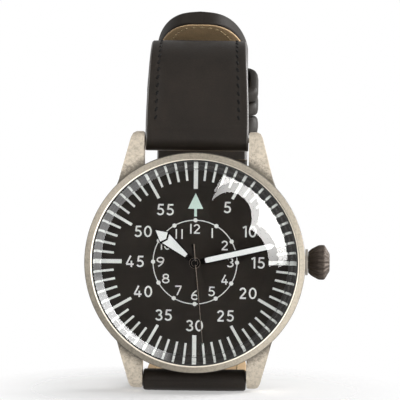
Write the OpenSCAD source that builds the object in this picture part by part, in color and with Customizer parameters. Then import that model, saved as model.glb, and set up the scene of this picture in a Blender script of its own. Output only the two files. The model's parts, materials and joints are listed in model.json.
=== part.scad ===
// Military wrist watch, buckled. The dial faces -Y, 12 o'clock is +Z and the crown is +X.
// The origin is the centre of the case back's outer face, on the hands' axis.
// Pieces of the watch head are drawn facing +Z and turned by head(): x is right, y is up and z is forward.

/* [Case] */
// Diameter of the bezel, the widest round of the case
case_d = 42; // [40:0.5:46]
// How much smaller the case band is than the bezel, across
band_step = 0.4; // [0.2:0.1:0.8]
// Forward edge of the case band, above the back face
band_top = 8; // [7.9:0.1:9]
// Backward edge of the case band, above the back face
band_low = 0.8; // [0.5:0.1:1.2]
// Gap between the lugs
lug_gap = 20; // [18:0.5:22]
// Distance over the lug tips, 12 to 6 o'clock
lug_span = 49.4; // [48.6:0.2:52]
// Thickness of a lug at its tip, sideways
lug_tip_t = 2.7; // [2.2:0.1:3]
// Thickness of a lug at its root, sideways
lug_root_t = 4.7; // [4:0.1:5]
// Height of a lug at the strap pin, back to front
lug_h = 4.4; // [4:0.1:5]
// Strap pin's distance from the lug tips
bar_inset = 1.6; // [1.5:0.1:2]
// Strap pin's height above the back face
bar_h = 2.4; // [2.2:0.1:3]
// Width of the case back's rim, outside the movement's hollow
back_rim = 1.2; // [1.1:0.1:1.5]
// Thickness of the case back's flange
back_t = 1.6; // [1.2:0.1:1.7]
// Notches for the case back key
back_notches = 6; // [4:1:8]

/* [Crystal and dial] */
// Height of the bezel
bezel_h = 2.4; // [2.1:0.1:3]
// Width of the bezel ring, seen from the front
bezel_w = 1.4; // [1.2:0.1:1.6]
// Wall of the gasket between crystal and bezel
gasket_t = 0.3; // [0.2:0.05:0.4]
// Thickness of the crystal
crystal_t = 1.1; // [0.8:0.1:1.4]
// Rise of the crystal's dome over its bevel
dome_rise = 1.5; // [1:0.1:2.2]
// Width of the bevel round the crystal
glass_bevel_w = 1.3; // [1:0.1:1.6]
// Height of the bevel round the crystal
glass_bevel_h = 0.8; // [0.5:0.1:1]
// Height of the crystal's rim
crystal_rim_h = 1.6; // [1.3:0.1:1.8]
// Thickness of the dial
dial_t = 0.4; // [0.3:0.05:0.45]
// Width of the sloping chapter ring
chapter_w = 1.25; // [1:0.05:1.6]
// Height of the chapter ring at its outside
chapter_h = 1.7; // [1.6:0.1:1.8]

/* [Hands] */
// Reach of the hour hand
hour_l = 9.9; // [8:0.1:11]
// Reach of the minute hand
minute_l = 15.7; // [13:0.1:16.5]
// Reach of the seconds hand
second_l = 15.5; // [13:0.1:16.5]
// Tail of the seconds hand
second_tail = 3.6; // [2.5:0.1:5]
// Thickness of a hand
hand_t = 0.2; // [0.15:0.05:0.25]
// Angle of the hour hand from 12 o'clock
hour_angle = 309; // [0:1:359]
// Angle of the minute hand from 12 o'clock
minute_angle = 77; // [0:1:359]
// Angle of the seconds hand from 12 o'clock
second_angle = 174; // [0:1:359]

/* [Crown] */
// Largest diameter of the crown
crown_d = 6.7; // [6:0.1:7.4]
// Length of the crown
crown_l = 4.1; // [3.8:0.1:5]
// Diameter of the crown at its base
crown_base_d = 4.3; // [4:0.1:5]
// Diameter of the crown's outer end
crown_end_d = 3.4; // [3:0.1:4]
// Number of flutes round the crown
crown_flutes = 16; // [12:1:20]
// Diameter of the winding stem
stem_d = 0.9; // [0.7:0.05:1]
// Wall of the crown tube
tube_t = 0.6; // [0.5:0.05:0.7]
// Travel of the crown when it is pulled out
crown_travel = 1.2; // [0.8:0.1:1.4]

/* [Movement] */
// Diameter of the movement
move_d = 26; // [25:0.1:27]
// Wall of the plastic ring round the movement
holder_w = 2.7; // [2.5:0.1:3.1]
// Diameter of the battery
cell_d = 7.9; // [7.5:0.1:8.2]
// Distance between the hands' axis and the minute wheel
motion_a = 3; // [2.8:0.05:3.2]
// Distance between the hands' axis and the third wheel, and the step wheel
train_a = 3.6; // [3.5:0.05:3.8]
// Distance between the step wheel and the rotor
rotor_a = 2.52; // [2.45:0.01:2.6]

/* [Strap] */
// Play of the strap between the lugs
strap_play = 0.3; // [0.2:0.1:0.6]
// How much narrower the strap is at the buckle and along the tail
strap_narrow = 1.3; // [0.5:0.1:3]
// Radius of the strap's roll round a lug pin
roll_r = 2.1; // [1.8:0.1:2.2]
// Length of the strap's thick nose next to the lugs
nose_l = 9; // [7:0.5:10]
// Thickness of the short piece, with the buckle
short_t = 2.6; // [2.2:0.1:3]
// Thickness of the long piece, with the holes
long_t = 2.7; // [2.2:0.1:3]
// Thickness of the lining
lining_t = 0.8; // [0.6:0.1:1]
// Depth of the strap loop behind the case, to the short piece's outer face
loop_depth = 41.6; // [38:0.2:46]
// Height of the front bend's axis above the centre
front_bend_z = 32.1; // [31:0.1:34]
// Distance of the front bend's axis behind the back face
front_bend_y = 9; // [8:0.1:10]
// Outer radius of the front bend
front_bend_r = 10; // [9:0.1:11]
// Height of the rear bend's axis above the centre
rear_bend_z = 25.5; // [24.5:0.1:27]
// Outer radius of the short piece's rear bend
rear_bend_r = 14; // [13:0.1:15]
// Outer radius of the lower bend
low_bend_r = 18; // [15:0.5:20]
// Slope of the tail's free end above level
tip_slope = 19; // [14:1:22]
// Straight length of the tail past the rear bend
tip_l = 19; // [17:0.5:22]
// Length over which the tail's end narrows
tip_taper = 22; // [14:0.5:22]
// Distance between the adjusting holes
hole_pitch = 6; // [5:0.5:7]
// Diameter of an adjusting hole
hole_d = 1.8; // [1.6:0.1:2.2]
// Number of adjusting holes below the buckle, and above it
hole_count = 3; // [2:1:3]

/* [Buckle and keepers] */
// Height of the buckle's pin above the centre
hinge_z = 15; // [14:0.2:16]
// Length of the buckle frame, pin to front bar
frame_l = 12.9; // [12.4:0.1:14]
// Lean of the buckle frame away from the strap
frame_lean = 27; // [26:0.5:30]
// Thickness of the frame's side arms
arm_t = 2; // [1.5:0.1:2.4]
// Radius of the frame's front bar
front_bar_r = 1.1; // [0.9:0.05:1.2]
// Thickness of the tongue
tongue_t = 1; // [0.8:0.05:1.1]
// Width of the tongue
tongue_w = 1.3; // [1.1:0.05:1.5]
// Most that the frame swings out
frame_swing = 10; // [5:1:12]
// Most that the tongue lifts off the frame
tongue_swing = 10; // [5:1:12]
// Wall of a keeper
keeper_t = 1.2; // [1:0.1:1.4]
// Wall of a keeper at its sides, where it is folded
keeper_side = 1.9; // [1.5:0.1:2.2]
// Length of the sliding keeper round the rear bend, in degrees
keeper_arc = 15.5; // [14:0.5:20]
// Where the sliding keeper starts on the rear bend, in degrees
keeper_start = 21.5; // [20:0.5:26]
// Height of the two sewn-on keepers
sewn_h = 3.6; // [3:0.1:4]

/* [Hidden] */

slack = 0.3; // clearance between soft pieces
run = 0.02; // running clearance of an arbor in its hole
fit = 0.05; // clearance of a piece that is dropped into its seat
eps = 0.01; // overshoot of a cut

case_r = case_d / 2;
band_r = case_r - band_step / 2;
bore_r = case_r - bezel_w; // bezel bore, the outside of the crystal's gasket
glass_r = bore_r - gasket_t;
dial_r = glass_r;
dial_top = band_top - 1;
dial_low = dial_top - dial_t;
glass_low = dial_top + chapter_h;
glass_edge = glass_low + crystal_rim_h;
ring_wall = 0.05; // gap between the movement and its ring
cavity_r = move_d / 2 + ring_wall + holder_w + fit;
back_r = cavity_r + back_rim;
bar_y = lug_span / 2 - bar_inset; // strap pin's distance from the hands' axis
pivot_r = 0.45; // thin ends of a spring bar
bar_r = 0.75; // body of a spring bar
bar_grip = 0.9; // how far a spring bar's end reaches into its hole

plate_low = 5; // levels of the movement, above the back face
plate_web = 0.6;
plate_top = dial_low - 0.2;
bridge_low = 2.9;
bridge_t = 0.4;
stem_z = 4.15;
arbor_r = 0.12;
second_r = 0.15;
move_k = move_d / 26; // the movement's inner distances grow with its diameter
cell_r = cell_d / 2 * move_k;
motion_c = motion_a * move_k;
train_c = train_a * move_k;
rotor_c = rotor_a * move_k;
cannon_r = 0.45;
pipe_r = 0.8;

tube_bore = stem_d / 2 + 0.15;
tube_r = tube_bore + tube_t;
tube_flange = 0.5;
crown_x = case_r + tube_flange + 0.07; // base of the crown
crown_wide = 0.59 * crown_l; // widest place of the crown, from its base
crown_bore_l = crown_travel + 0.3;
seal_w = 0.4;
seal_x = 0.5; // O-ring's groove, from the crown's base
stem_tip_x = 7 * move_k;
pinion_l = 1.4; // length of the setting pinion
groove_x = stem_tip_x + 2.6; // stem's groove for the setting lever
groove_w = 0.4;
groove_r = stem_d / 2 - 0.15;
stem_grip = 1.2; // how far the stem is screwed into the crown
lever_t = 0.3;

motion_teeth = [12, 36, 10, 40]; // cannon pinion, minute wheel, its pinion, hour wheel
train_teeth = [8, 64, 8, 60]; // fourth pinion, third wheel, its pinion, centre wheel
step_teeth = [40, 8, 36, 6]; // fourth wheel, step pinion, step wheel, rotor pinion
motion_dir = 150;
third_dir = 60;
step_dir = -25;
rotor_dir = -70;
third_at = train_c * [cos(third_dir), sin(third_dir)];
step_at = train_c * [cos(step_dir), sin(step_dir)];
rotor_at = step_at + rotor_c * [cos(rotor_dir), sin(rotor_dir)];
minute_at = motion_c * [cos(motion_dir), sin(motion_dir)];
cell_at = move_k * [-6.7, -4.7];
coil_at = move_k * [1, -9.6];
coil_l = 9 * move_k;
coil_r = 0.95;
core_low = 3.6; // level of the stator sheet, which is the coil's core too
core_t = 0.5;
core_w = 1;
magnet_r = 0.9;
post_r = 0.25; // minute wheel's post
foot_r = 0.35; // dial feet
foot_dirs = [100, 280];
foot_a = 9.5 * move_k;
bridge_posts = move_k * [[-2.4, 7], [7, 5.5], [7.2, -2.3]];
plate_hollow_r = 8 * move_k;
hour_z = dial_top + 1.1; // levels of the hands, each above the one before
minute_z = hour_z + 0.6;
second_z = minute_z + 0.6;
second_top = second_z + hand_t;
hub_r = 1.05;

strap_w = lug_gap - strap_play;
half_w = (strap_w - strap_narrow) / 2;
pin_top = [-bar_h, bar_y]; // points of the strap's side view are [y, z]
pin_low = [-bar_h, -bar_y];
front_bend = [front_bend_y, front_bend_z];
rear_bend = [loop_depth - rear_bend_r, rear_bend_z];
tail_r = rear_bend_r + slack + long_t; // outer radius of the tail round the rear bend
tail_y = rear_bend[0] + tail_r; // outer face of the long piece behind the wrist
low_bend = [tail_y - low_bend_r, -bar_y - roll_r + low_bend_r];
tip_normal = 90 - tip_slope;
flap_z = rear_bend_z - 1; // upper edge of the short piece's turned-back end
hinge = [loop_depth - short_t / 2, hinge_z];
front_bar = hinge + frame_l * [sin(frame_lean), -cos(frame_lean)];
frame_in = half_w + slack;
tongue_hole_z = hinge_z - 1.8;
tongue_slot = tongue_t + (tail_y - hinge[0] + 0.6) * sin(frame_swing + tongue_swing) + slack;
slot_drop = 1.15; // lower edge of the tongue's hole, under the tongue's middle
leather_bore = bar_r + fit;
keeper_gap = 1.2; // degrees between the bent keepers
keeper_in = rear_bend_r - short_t - slack; // hollow of the keepers, from the rear bend's axis
keeper_out = tail_r + slack;
middle_arc = 2 * asin(sewn_h / 2 / (rear_bend_r + slack));
middle_start = keeper_start - keeper_gap - middle_arc;

// Points of an arc in the side view, from angle a to angle b
function arc(c, r, a, b) =
    let (n = max(2, ceil(abs(b - a) / 6)))
    [for (i = [0 : n]) c + r * [cos(a + (b - a) * i / n), sin(a + (b - a) * i / n)]];

// Angle of the outward normal of the straight belt from one wheel to the next, both turned clockwise
function belt_normal(c1, r1, c2, r2) =
    let (d = c2 - c1)
    atan2(d[1], d[0]) + asin((r2 - r1) / norm(d)) + 90;

n1 = belt_normal(pin_top, roll_r, front_bend, front_bend_r);
n2 = belt_normal(front_bend, front_bend_r, rear_bend, rear_bend_r);
nose_top = pin_top + nose_l * [sin(n1), -cos(n1)] + roll_r * [cos(n1), sin(n1)];
nose_low = pin_low + [nose_l, -roll_r];
tip_start = rear_bend + tail_r * [cos(tip_normal), sin(tip_normal)];
tip_dir = [-sin(tip_normal), cos(tip_normal)];
tip_end = tip_start + tip_l * tip_dir;
tip_in = -[cos(tip_normal), sin(tip_normal)];

module head() { rotate([90, 0, 0]) children(); }

// Extrudes an outline drawn in the side view [y, z] across the strap
module across(w) { rotate([90, 0, 90]) linear_extrude(height = w, center = true) children(); }

// Puts a cylinder along X
module along_x(x0, x1, r, at = [0, 0]) {
    translate([x0, at[0], at[1]]) rotate([0, 90, 0]) cylinder(h = x1 - x0, r = r, $fn = 48);
}

module ring(r0, r1, z0, z1) {
    difference() {
        translate([0, 0, z0]) cylinder(h = z1 - z0, r = r1, $fn = 128);
        translate([0, 0, z0 - eps]) cylinder(h = z1 - z0 + 2 * eps, r = r0, $fn = 128);
    }
}

module disc(r, z0, z1, at = [0, 0]) {
    translate([at[0], at[1], z0]) cylinder(h = z1 - z0, r = r, $fn = 64);
}

// Toothed wheel: straight-sided teeth, the first one centred on angle turn
module gear(n, pitch_r, z0, z1, at = [0, 0], turn = 0) {
    m = 2 * pitch_r / n;
    part = [-0.3, -0.12, 0.12, 0.3];
    reach = [-1, 0.8, 0.8, -1];
    translate([at[0], at[1], z0]) linear_extrude(height = z1 - z0)
        polygon([for (i = [0 : n - 1], k = [0 : 3])
            let (a = turn + (i + part[k]) * 360 / n, r = pitch_r + reach[k] * m)
            [r * cos(a), r * sin(a)]]);
}

// Share of a centre distance that one of two meshing wheels takes
function pitch(a, mine, other) = a * mine / (mine + other);

module lug_plan() {
    tip = lug_span / 2;
    polygon([
        [lug_gap / 2, band_r - 7], [lug_gap / 2, tip - 0.3], [lug_gap / 2 + 0.3, tip],
        [lug_gap / 2 + lug_tip_t - 1.2, tip], [lug_gap / 2 + lug_tip_t - 0.5, tip - 0.35],
        [lug_gap / 2 + lug_tip_t - 0.1, tip - 1.1], [lug_gap / 2 + lug_root_t, tip - 9.2],
        [lug_gap / 2 + lug_root_t + 0.9, tip - 11.5]]);
}

module lug_side() {
    tip = lug_span / 2;
    low = bar_h - lug_h / 2;
    polygon(concat(
        [[band_r - 7, band_top - 0.3], [band_r - 3.2, band_top - 0.5]],
        arc([tip - lug_h / 2, bar_h], lug_h / 2, 62, -78),
        [[tip - 5, low + 0.25], [band_r - 7, band_low]]));
}

module lug() {
    intersection() {
        translate([0, 0, -1]) linear_extrude(height = band_top + 1) lug_plan();
        rotate([90, 0, 90]) linear_extrude(height = case_r) lug_side();
    }
}

// Case band with its four lugs, one piece of steel
module mid_case() {
    color([0.68, 0.65, 0.6]) head() difference() {
        union() {
            rotate_extrude($fn = 180) polygon([
                [cavity_r, band_low], [band_r - 1.9, band_low], [band_r - 0.5, band_low + 1.6],
                [band_r, band_low + 2.8], [band_r, band_top - 0.25], [band_r - 0.25, band_top],
                [cavity_r, band_top]]);
            for (sx = [0, 1], sy = [0, 1]) mirror([sx, 0, 0]) mirror([0, sy, 0]) lug();
        }
        disc(cavity_r, -2, band_top + 1);
        disc(dial_r + fit, dial_low, band_top + 1);
        disc(back_r + fit, -2, back_t);
        ring(back_r - 0.9, back_r - 0.4, 0, back_t + 0.5);
        translate([0, 0, stem_z]) along_x(cavity_r - 2, case_r + 1, tube_r);
        for (sx = [-1, 1], sy = [-1, 1])
            translate([sx * lug_gap / 2, sy * bar_y, bar_h])
                rotate([0, 90, 0]) cylinder(h = 2 * bar_grip + 0.4, r = pivot_r + fit, center = true, $fn = 32);
    }
}

module bezel() {
    low = band_top;
    top = low + bezel_h;
    color([0.72, 0.69, 0.64]) head() rotate_extrude($fn = 180) polygon(concat(
        [[bore_r, low], [case_r - 0.2, low], [case_r, low + 0.2], [case_r, low + 0.55]],
        [for (i = [0 : 6]) let (a = 15 * i)
            [case_r - 0.95 + 0.95 * cos(a), low + 0.55 + (bezel_h - 0.55) * sin(a)]],
        [[bore_r + 0.15, top], [bore_r, top - 0.15]]));
}

// Radius of a sphere over a rim of radius r that rises by h
function dome_radius(r, h) = (r * r + h * h) / (2 * h);

module dome(r, base, rise) {
    big = dome_radius(r, rise);
    intersection() {
        translate([0, 0, base + rise - big]) sphere(r = big, $fn = 180);
        disc(r, glass_low - 1, base + rise + 1);
    }
}

module crystal() {
    edge_r = glass_r - glass_bevel_w;
    edge_z = glass_edge + glass_bevel_h;
    color([0.85, 0.9, 0.92, 0.25]) head() difference() {
        intersection() {
            union() {
                disc(glass_r, glass_low, glass_edge);
                translate([0, 0, glass_edge]) cylinder(h = glass_bevel_h, r1 = glass_r, r2 = edge_r, $fn = 128);
                dome(edge_r, edge_z, dome_rise);
            }
            disc(glass_r, glass_low, edge_z + dome_rise + 1);
        }
        dome(edge_r, edge_z - crystal_t, dome_rise);
    }
}

module crystal_gasket() {
    color([0.15, 0.15, 0.15]) head() ring(glass_r, bore_r, band_top, glass_edge - 0.2);
}

// Sloping ring that carries the outer ends of the minute marks
module chapter_ring() {
    color([0.2, 0.2, 0.2]) head() rotate_extrude($fn = 180) polygon([
        [dial_r - chapter_w, dial_top], [dial_r, dial_top], [dial_r, glass_low],
        [dial_r - 0.15, glass_low], [dial_r - chapter_w, dial_top + 0.25]]);
}

module dial() {
    color([0.13, 0.11, 0.1]) head() {
        ring(pipe_r + 0.1, dial_r, dial_low, dial_top);
        for (a = foot_dirs) disc(foot_r, plate_top - 0.8, dial_low + eps, foot_a * [cos(a), sin(a)]);
    }
}

module case_back() {
    color([0.7, 0.7, 0.7]) head() difference() {
        union() {
            disc(back_r, 0, back_t);
            ring(cavity_r - 1.6, cavity_r - fit, back_t, back_t + 0.8);
        }
        for (i = [0 : back_notches - 1]) rotate([0, 0, i * 360 / back_notches])
            translate([back_r - 1.6, -1, -eps]) cube([2.5, 2, 0.5]);
    }
}

module back_gasket() {
    color([0.1, 0.1, 0.1]) head() ring(back_r - 0.88, back_r - 0.42, back_t, back_t + 0.48);
}

module crown_tube() {
    color([0.75, 0.75, 0.75]) head() translate([0, 0, stem_z]) difference() {
        union() {
            along_x(cavity_r + 0.2, crown_x + crown_travel, tube_r);
            along_x(case_r + 0.02, case_r + tube_flange, 2.5);
        }
        along_x(cavity_r, crown_x + 2, tube_bore);
    }
}

// Fluted onion crown
module crown() {
    wide_r = crown_d / 2;
    base_r = crown_base_d / 2;
    end_r = crown_end_d / 2;
    inner_slope = atan2(wide_r - base_r, crown_wide);
    outer_slope = atan2(wide_r - end_r, crown_l - crown_wide);
    flute_r = 0.42;
    color([0.2, 0.16, 0.13]) head() translate([crown_x, 0, stem_z]) rotate([0, 90, 0]) difference() {
        rotate_extrude($fn = 96) polygon([
            [0, 0], [base_r, 0], [base_r, 0.35], [wide_r - 0.2, crown_wide - 0.3], [wide_r, crown_wide],
            [wide_r - 0.15, crown_wide + 0.25], [end_r + 0.2, crown_l - 0.2], [end_r, crown_l], [0, crown_l]]);
        for (i = [0 : crown_flutes - 1]) rotate([0, 0, i * 360 / crown_flutes]) {
            translate([base_r + 0.16, 0, 0.1]) rotate([0, inner_slope, 0])
                cylinder(h = 2 * crown_wide, r = flute_r, $fn = 20);
            translate([end_r + 0.16, 0, crown_l - 0.1]) rotate([0, 180 - outer_slope, 0])
                cylinder(h = 2 * crown_wide, r = flute_r, $fn = 20);
        }
        translate([0, 0, -eps]) cylinder(h = crown_bore_l, r = tube_r + fit, $fn = 48);
        translate([0, 0, seal_x]) cylinder(h = seal_w, r = tube_r + seal_w, $fn = 48);
        cylinder(h = crown_bore_l + stem_grip, r = stem_d / 2, $fn = 32);
    }
}

module crown_gasket() {
    color([0.1, 0.1, 0.1]) head() translate([crown_x + seal_x, 0, stem_z]) rotate([0, 90, 0])
        ring(tube_r + run, tube_r + seal_w, 0, seal_w);
}

module stem() {
    color([0.7, 0.7, 0.72]) head() translate([0, 0, stem_z]) difference() {
        along_x(stem_tip_x, crown_x + crown_bore_l + stem_grip, stem_d / 2);
        difference() {
            along_x(groove_x, groove_x + groove_w, stem_d);
            along_x(groove_x, groove_x + groove_w, groove_r);
        }
    }
}

module setting_pinion() {
    color([0.75, 0.68, 0.45]) head() translate([stem_tip_x + 0.1, 0, stem_z]) rotate([0, 90, 0]) difference() {
        gear(14, 0.68, 0, pinion_l);
        translate([0, 0, -eps]) cylinder(h = pinion_l + 1, r = stem_d / 2, $fn = 32);
    }
}

// Fork that sits in the stem's groove and moves with it
module setting_lever() {
    x0 = groove_x + (groove_w - lever_t) / 2;
    mouth_r = groove_r + run;
    color([0.72, 0.72, 0.75]) head() difference() {
        translate([x0, -1.1, stem_z - 0.6]) cube([lever_t, 2.2, 1.3]);
        translate([0, 0, stem_z]) along_x(x0 - 1, x0 + 1, mouth_r);
        translate([x0 - 1, -mouth_r, stem_z - 2]) cube([2, 2 * mouth_r, 2]);
    }
}

// Outline of a hand with its widths given at distances from the axis, [distance, half width]
module blade(stations) {
    n = len(stations);
    polygon(concat([for (s = stations) [s[1], s[0]]],
        [for (i = [n - 1 : -1 : 0]) if (stations[i][1] > 0) [-stations[i][1], stations[i][0]]]));
}

module hour_window() {
    blade([[2.1, 0.38], [hour_l - 2.75, 1.08], [hour_l - 3.2, 0]]);
    blade([[hour_l - 2.85, 0], [hour_l - 2.3, 1.13], [hour_l - 0.25, 0]]);
}

module minute_window() {
    blade([[2, 0.4], [2.4, 0.5], [minute_l - 1, 0.52], [minute_l - 0.25, 0]]);
}

module hour_hand() {
    color([0.06, 0.06, 0.06]) head() rotate([0, 0, -hour_angle]) difference() {
        union() {
            translate([0, 0, hour_z]) linear_extrude(height = hand_t) difference() {
                blade([[0, 0.5], [1.6, 0.5], [hour_l - 2.45, 1.4], [hour_l, 0]]);
                hour_window();
            }
            disc(hub_r, hour_z, hour_z + hand_t);
        }
        disc(pipe_r, hour_z - 1, hour_z + 1);
    }
}

module hour_hand_lume() {
    color([0.95, 0.97, 0.92]) head() rotate([0, 0, -hour_angle]) translate([0, 0, hour_z])
        linear_extrude(height = hand_t - 0.03) hour_window();
}

module minute_hand() {
    color([0.06, 0.06, 0.06]) head() rotate([0, 0, -minute_angle]) difference() {
        union() {
            translate([0, 0, minute_z]) linear_extrude(height = hand_t) difference() {
                blade([[0, 0.45], [1.2, 0.45], [2.2, 0.7], [minute_l - 1.1, 0.7], [minute_l, 0]]);
                minute_window();
            }
            disc(hub_r, minute_z, minute_z + hand_t);
        }
        disc(cannon_r, minute_z - 1, minute_z + 1);
    }
}

module minute_hand_lume() {
    color([0.95, 0.97, 0.92]) head() rotate([0, 0, -minute_angle]) translate([0, 0, minute_z])
        linear_extrude(height = hand_t - 0.03) minute_window();
}

module second_hand() {
    color([0.05, 0.05, 0.05]) head() rotate([0, 0, -second_angle]) difference() {
        union() {
            translate([0, 0, second_z]) linear_extrude(height = hand_t * 0.75)
                blade([[-second_tail, 0.28], [0, 0.2], [second_l, 0.09]]);
            disc(hub_r, second_z - 0.1, second_top);
        }
        disc(second_r, second_z - 1, second_top - 0.08);
    }
}

// Dial-side plate of the movement, with the post of the minute wheel
module main_plate() {
    color([0.75, 0.7, 0.5]) head() {
        difference() {
            disc(move_d / 2, plate_low, plate_top);
            disc(plate_hollow_r, plate_low + plate_web, plate_top + 1);
            disc(cannon_r + run, plate_low - 1, plate_top);
            disc(arbor_r + run, plate_low - 1, plate_top, third_at);
            disc(arbor_r + run, plate_low - 1, plate_top, step_at);
            disc(arbor_r + run, plate_low - 1, plate_top, rotor_at);
            for (a = foot_dirs) disc(foot_r + run, plate_top - 0.8, plate_top + 1, foot_a * [cos(a), sin(a)]);
        }
        disc(post_r, plate_low + plate_web - eps, plate_top - 0.05, minute_at);
    }
}

module train_bridge() {
    color([0.78, 0.76, 0.7]) head() difference() {
        union() {
            intersection() {
                disc(move_d / 2 - 0.6, bridge_low, bridge_low + bridge_t);
                translate(move_k * [-3.4, -8, 0]) cube(move_k * [11.5, 16, 9]);
            }
            for (p = bridge_posts) disc(0.7, bridge_low, plate_low, p);
        }
        disc(cell_r + slack, 0, 9, cell_at);
        disc(second_r + run, 0, 9);
        for (p = [third_at, step_at, rotor_at]) disc(arbor_r + run, 0, 9, p);
    }
}

// Ring that centres the movement in the case
module holder_ring() {
    color([0.9, 0.9, 0.88]) head() difference() {
        ring(move_d / 2 + ring_wall, cavity_r - fit, bridge_low, dial_low);
        translate([0, 0, stem_z]) along_x(move_d / 2 - 1, cavity_r + 1, stem_d / 2 + 0.15);
    }
}

module battery() {
    color([0.8, 0.8, 0.82]) head() {
        disc(cell_r, bridge_low, plate_low - 0.25, cell_at);
        disc(cell_r - 0.9, plate_low - 0.25, plate_low - 0.05, cell_at);
    }
}

module circuit_board() {
    color([0.1, 0.35, 0.2]) head() difference() {
        intersection() {
            disc(move_d / 2 - 0.5, plate_low - 0.5, plate_low - 0.02);
            translate(move_k * [-12, 3.6, 0]) cube(move_k * [8.5, 9, 9]);
        }
        disc(cell_r + slack, 0, 9, cell_at);
    }
}

module coil() {
    color([0.72, 0.4, 0.2]) head() translate([coil_at[0], coil_at[1], core_low + core_t / 2]) difference() {
        union() {
            along_x(-coil_l / 2, coil_l / 2, coil_r);
            for (s = [-1, 1]) translate([s * coil_l / 2, 0, 0])
                cube([0.5, 2 * coil_r, 2 * coil_r], center = true);
        }
        cube([2 * coil_l, core_w, core_t], center = true);
    }
}

// Laminated stator with the coil's core, one magnetic loop
module stator() {
    end_x = coil_l / 2 + 1.2; // outer ends of the loop, from the coil's middle
    pole_w = 1.5;
    pole_y = rotor_at[1] - 0.4 - pole_w;
    color([0.6, 0.6, 0.62]) head() difference() {
        translate([0, 0, core_low]) linear_extrude(height = core_t) {
            translate([coil_at[0] - end_x, coil_at[1] - core_w / 2]) square([2 * end_x, core_w]);
            for (x = [coil_at[0] - end_x, coil_at[0] + end_x - 0.9])
                translate([x, coil_at[1]]) square([0.9, pole_y + pole_w - coil_at[1]]);
            translate([coil_at[0] - end_x, pole_y]) square([2 * end_x, pole_w]);
            translate(rotor_at) circle(r = 1.75, $fn = 64);
        }
        disc(magnet_r + 0.25, 0, 9, rotor_at);
        disc(cell_r + slack, 0, 9, cell_at);
    }
}

module rotor() {
    color([0.35, 0.35, 0.38]) head() {
        disc(arbor_r, bridge_low + 0.1, plate_low + 0.3, rotor_at);
        disc(magnet_r, core_low + 0.05, core_low + core_t, rotor_at);
        gear(step_teeth[3], pitch(rotor_c, step_teeth[3], step_teeth[2]), core_low + core_t, 4.6,
            rotor_at, rotor_dir + 180 + 180 / step_teeth[3]);
    }
}

// Intermediate wheel between the rotor and the fourth wheel
module step_wheel() {
    color([0.85, 0.72, 0.4]) head() {
        disc(arbor_r, bridge_low + 0.1, plate_low + 0.3, step_at);
        gear(step_teeth[1], pitch(train_c, step_teeth[1], step_teeth[0]), 3.4, 4.25, step_at,
            step_dir + 180 + 180 / step_teeth[1]);
        gear(step_teeth[2], pitch(rotor_c, step_teeth[2], step_teeth[3]), 4.22, 4.4, step_at, rotor_dir);
    }
}

// Wheel on the seconds arbor
module fourth_wheel() {
    color([0.85, 0.72, 0.4]) head() {
        disc(second_r, bridge_low + 0.1, second_top - 0.08);
        gear(step_teeth[0], pitch(train_c, step_teeth[0], step_teeth[1]), 3.5, 3.75, [0, 0], step_dir);
        gear(train_teeth[0], pitch(train_c, train_teeth[0], train_teeth[1]), 3.7, 4.3, [0, 0], third_dir);
    }
}

module third_wheel() {
    color([0.85, 0.72, 0.4]) head() {
        disc(arbor_r, bridge_low + 0.1, plate_low + 0.3, third_at);
        gear(train_teeth[1], pitch(train_c, train_teeth[1], train_teeth[0]), 3.9, 4.12, third_at,
            third_dir + 180 + 180 / train_teeth[1]);
        gear(train_teeth[2], pitch(train_c, train_teeth[2], train_teeth[3]), 4.1, 4.9, third_at,
            third_dir + 180);
    }
}

// Wheel that drives the cannon pinion through friction
module centre_wheel() {
    color([0.85, 0.72, 0.4]) head() difference() {
        gear(train_teeth[3], pitch(train_c, train_teeth[3], train_teeth[2]), 4.55, 4.8, [0, 0],
            third_dir + 180 / train_teeth[3]);
        disc(cannon_r + run, 4, 6);
    }
}

module cannon_pinion() {
    color([0.7, 0.7, 0.72]) head() difference() {
        union() {
            disc(cannon_r, 4.5, minute_z + hand_t);
            gear(motion_teeth[0], pitch(motion_c, motion_teeth[0], motion_teeth[1]), 5.65, 6.05, [0, 0],
                motion_dir);
        }
        disc(second_r + run, 4, minute_z + 1);
    }
}

module minute_wheel() {
    color([0.85, 0.72, 0.4]) head() difference() {
        union() {
            gear(motion_teeth[1], pitch(motion_c, motion_teeth[1], motion_teeth[0]), 5.7, 5.98, minute_at,
                motion_dir + 180 + 180 / motion_teeth[1]);
            gear(motion_teeth[2], pitch(motion_c, motion_teeth[2], motion_teeth[3]), 5.95, 6.35, minute_at,
                motion_dir + 180);
        }
        disc(post_r + run, 5, 7, minute_at);
    }
}

module hour_wheel() {
    color([0.85, 0.72, 0.4]) head() difference() {
        union() {
            disc(pipe_r, 6.1, hour_z + hand_t);
            gear(motion_teeth[3], pitch(motion_c, motion_teeth[3], motion_teeth[2]), 6.1, 6.35, [0, 0],
                motion_dir + 180 / motion_teeth[3]);
        }
        disc(cannon_r + run, 5, hour_z + 1);
    }
}

// Spring bar: a tube with its two sprung ends
module spring_bar(at, span) {
    color([0.7, 0.7, 0.72]) {
        along_x(-span / 2 + 0.6, span / 2 - 0.6, bar_r, at);
        along_x(-span / 2 - bar_grip, -span / 2 + 0.6, pivot_r, at);
        along_x(span / 2 - 0.6, span / 2 + bar_grip, pivot_r, at);
    }
}

module spring_bar_upper() { spring_bar(pin_top, lug_gap); }
module spring_bar_lower() { spring_bar(pin_low, lug_gap); }
module spring_bar_buckle() { spring_bar(hinge, 2 * frame_in); }

// Narrows a strap piece from the lugs, z1 to z2 in the front view or y1 to y2 from above
module taper_front(z1, z2) {
    h = half_w;
    w = strap_w / 2;
    rotate([90, 0, 0]) linear_extrude(height = 200, center = true)
        polygon([[-w, -99], [w, -99], [w, z1], [h, z2], [h, 99], [-h, 99], [-h, z2], [-w, z1]]);
}

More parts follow.
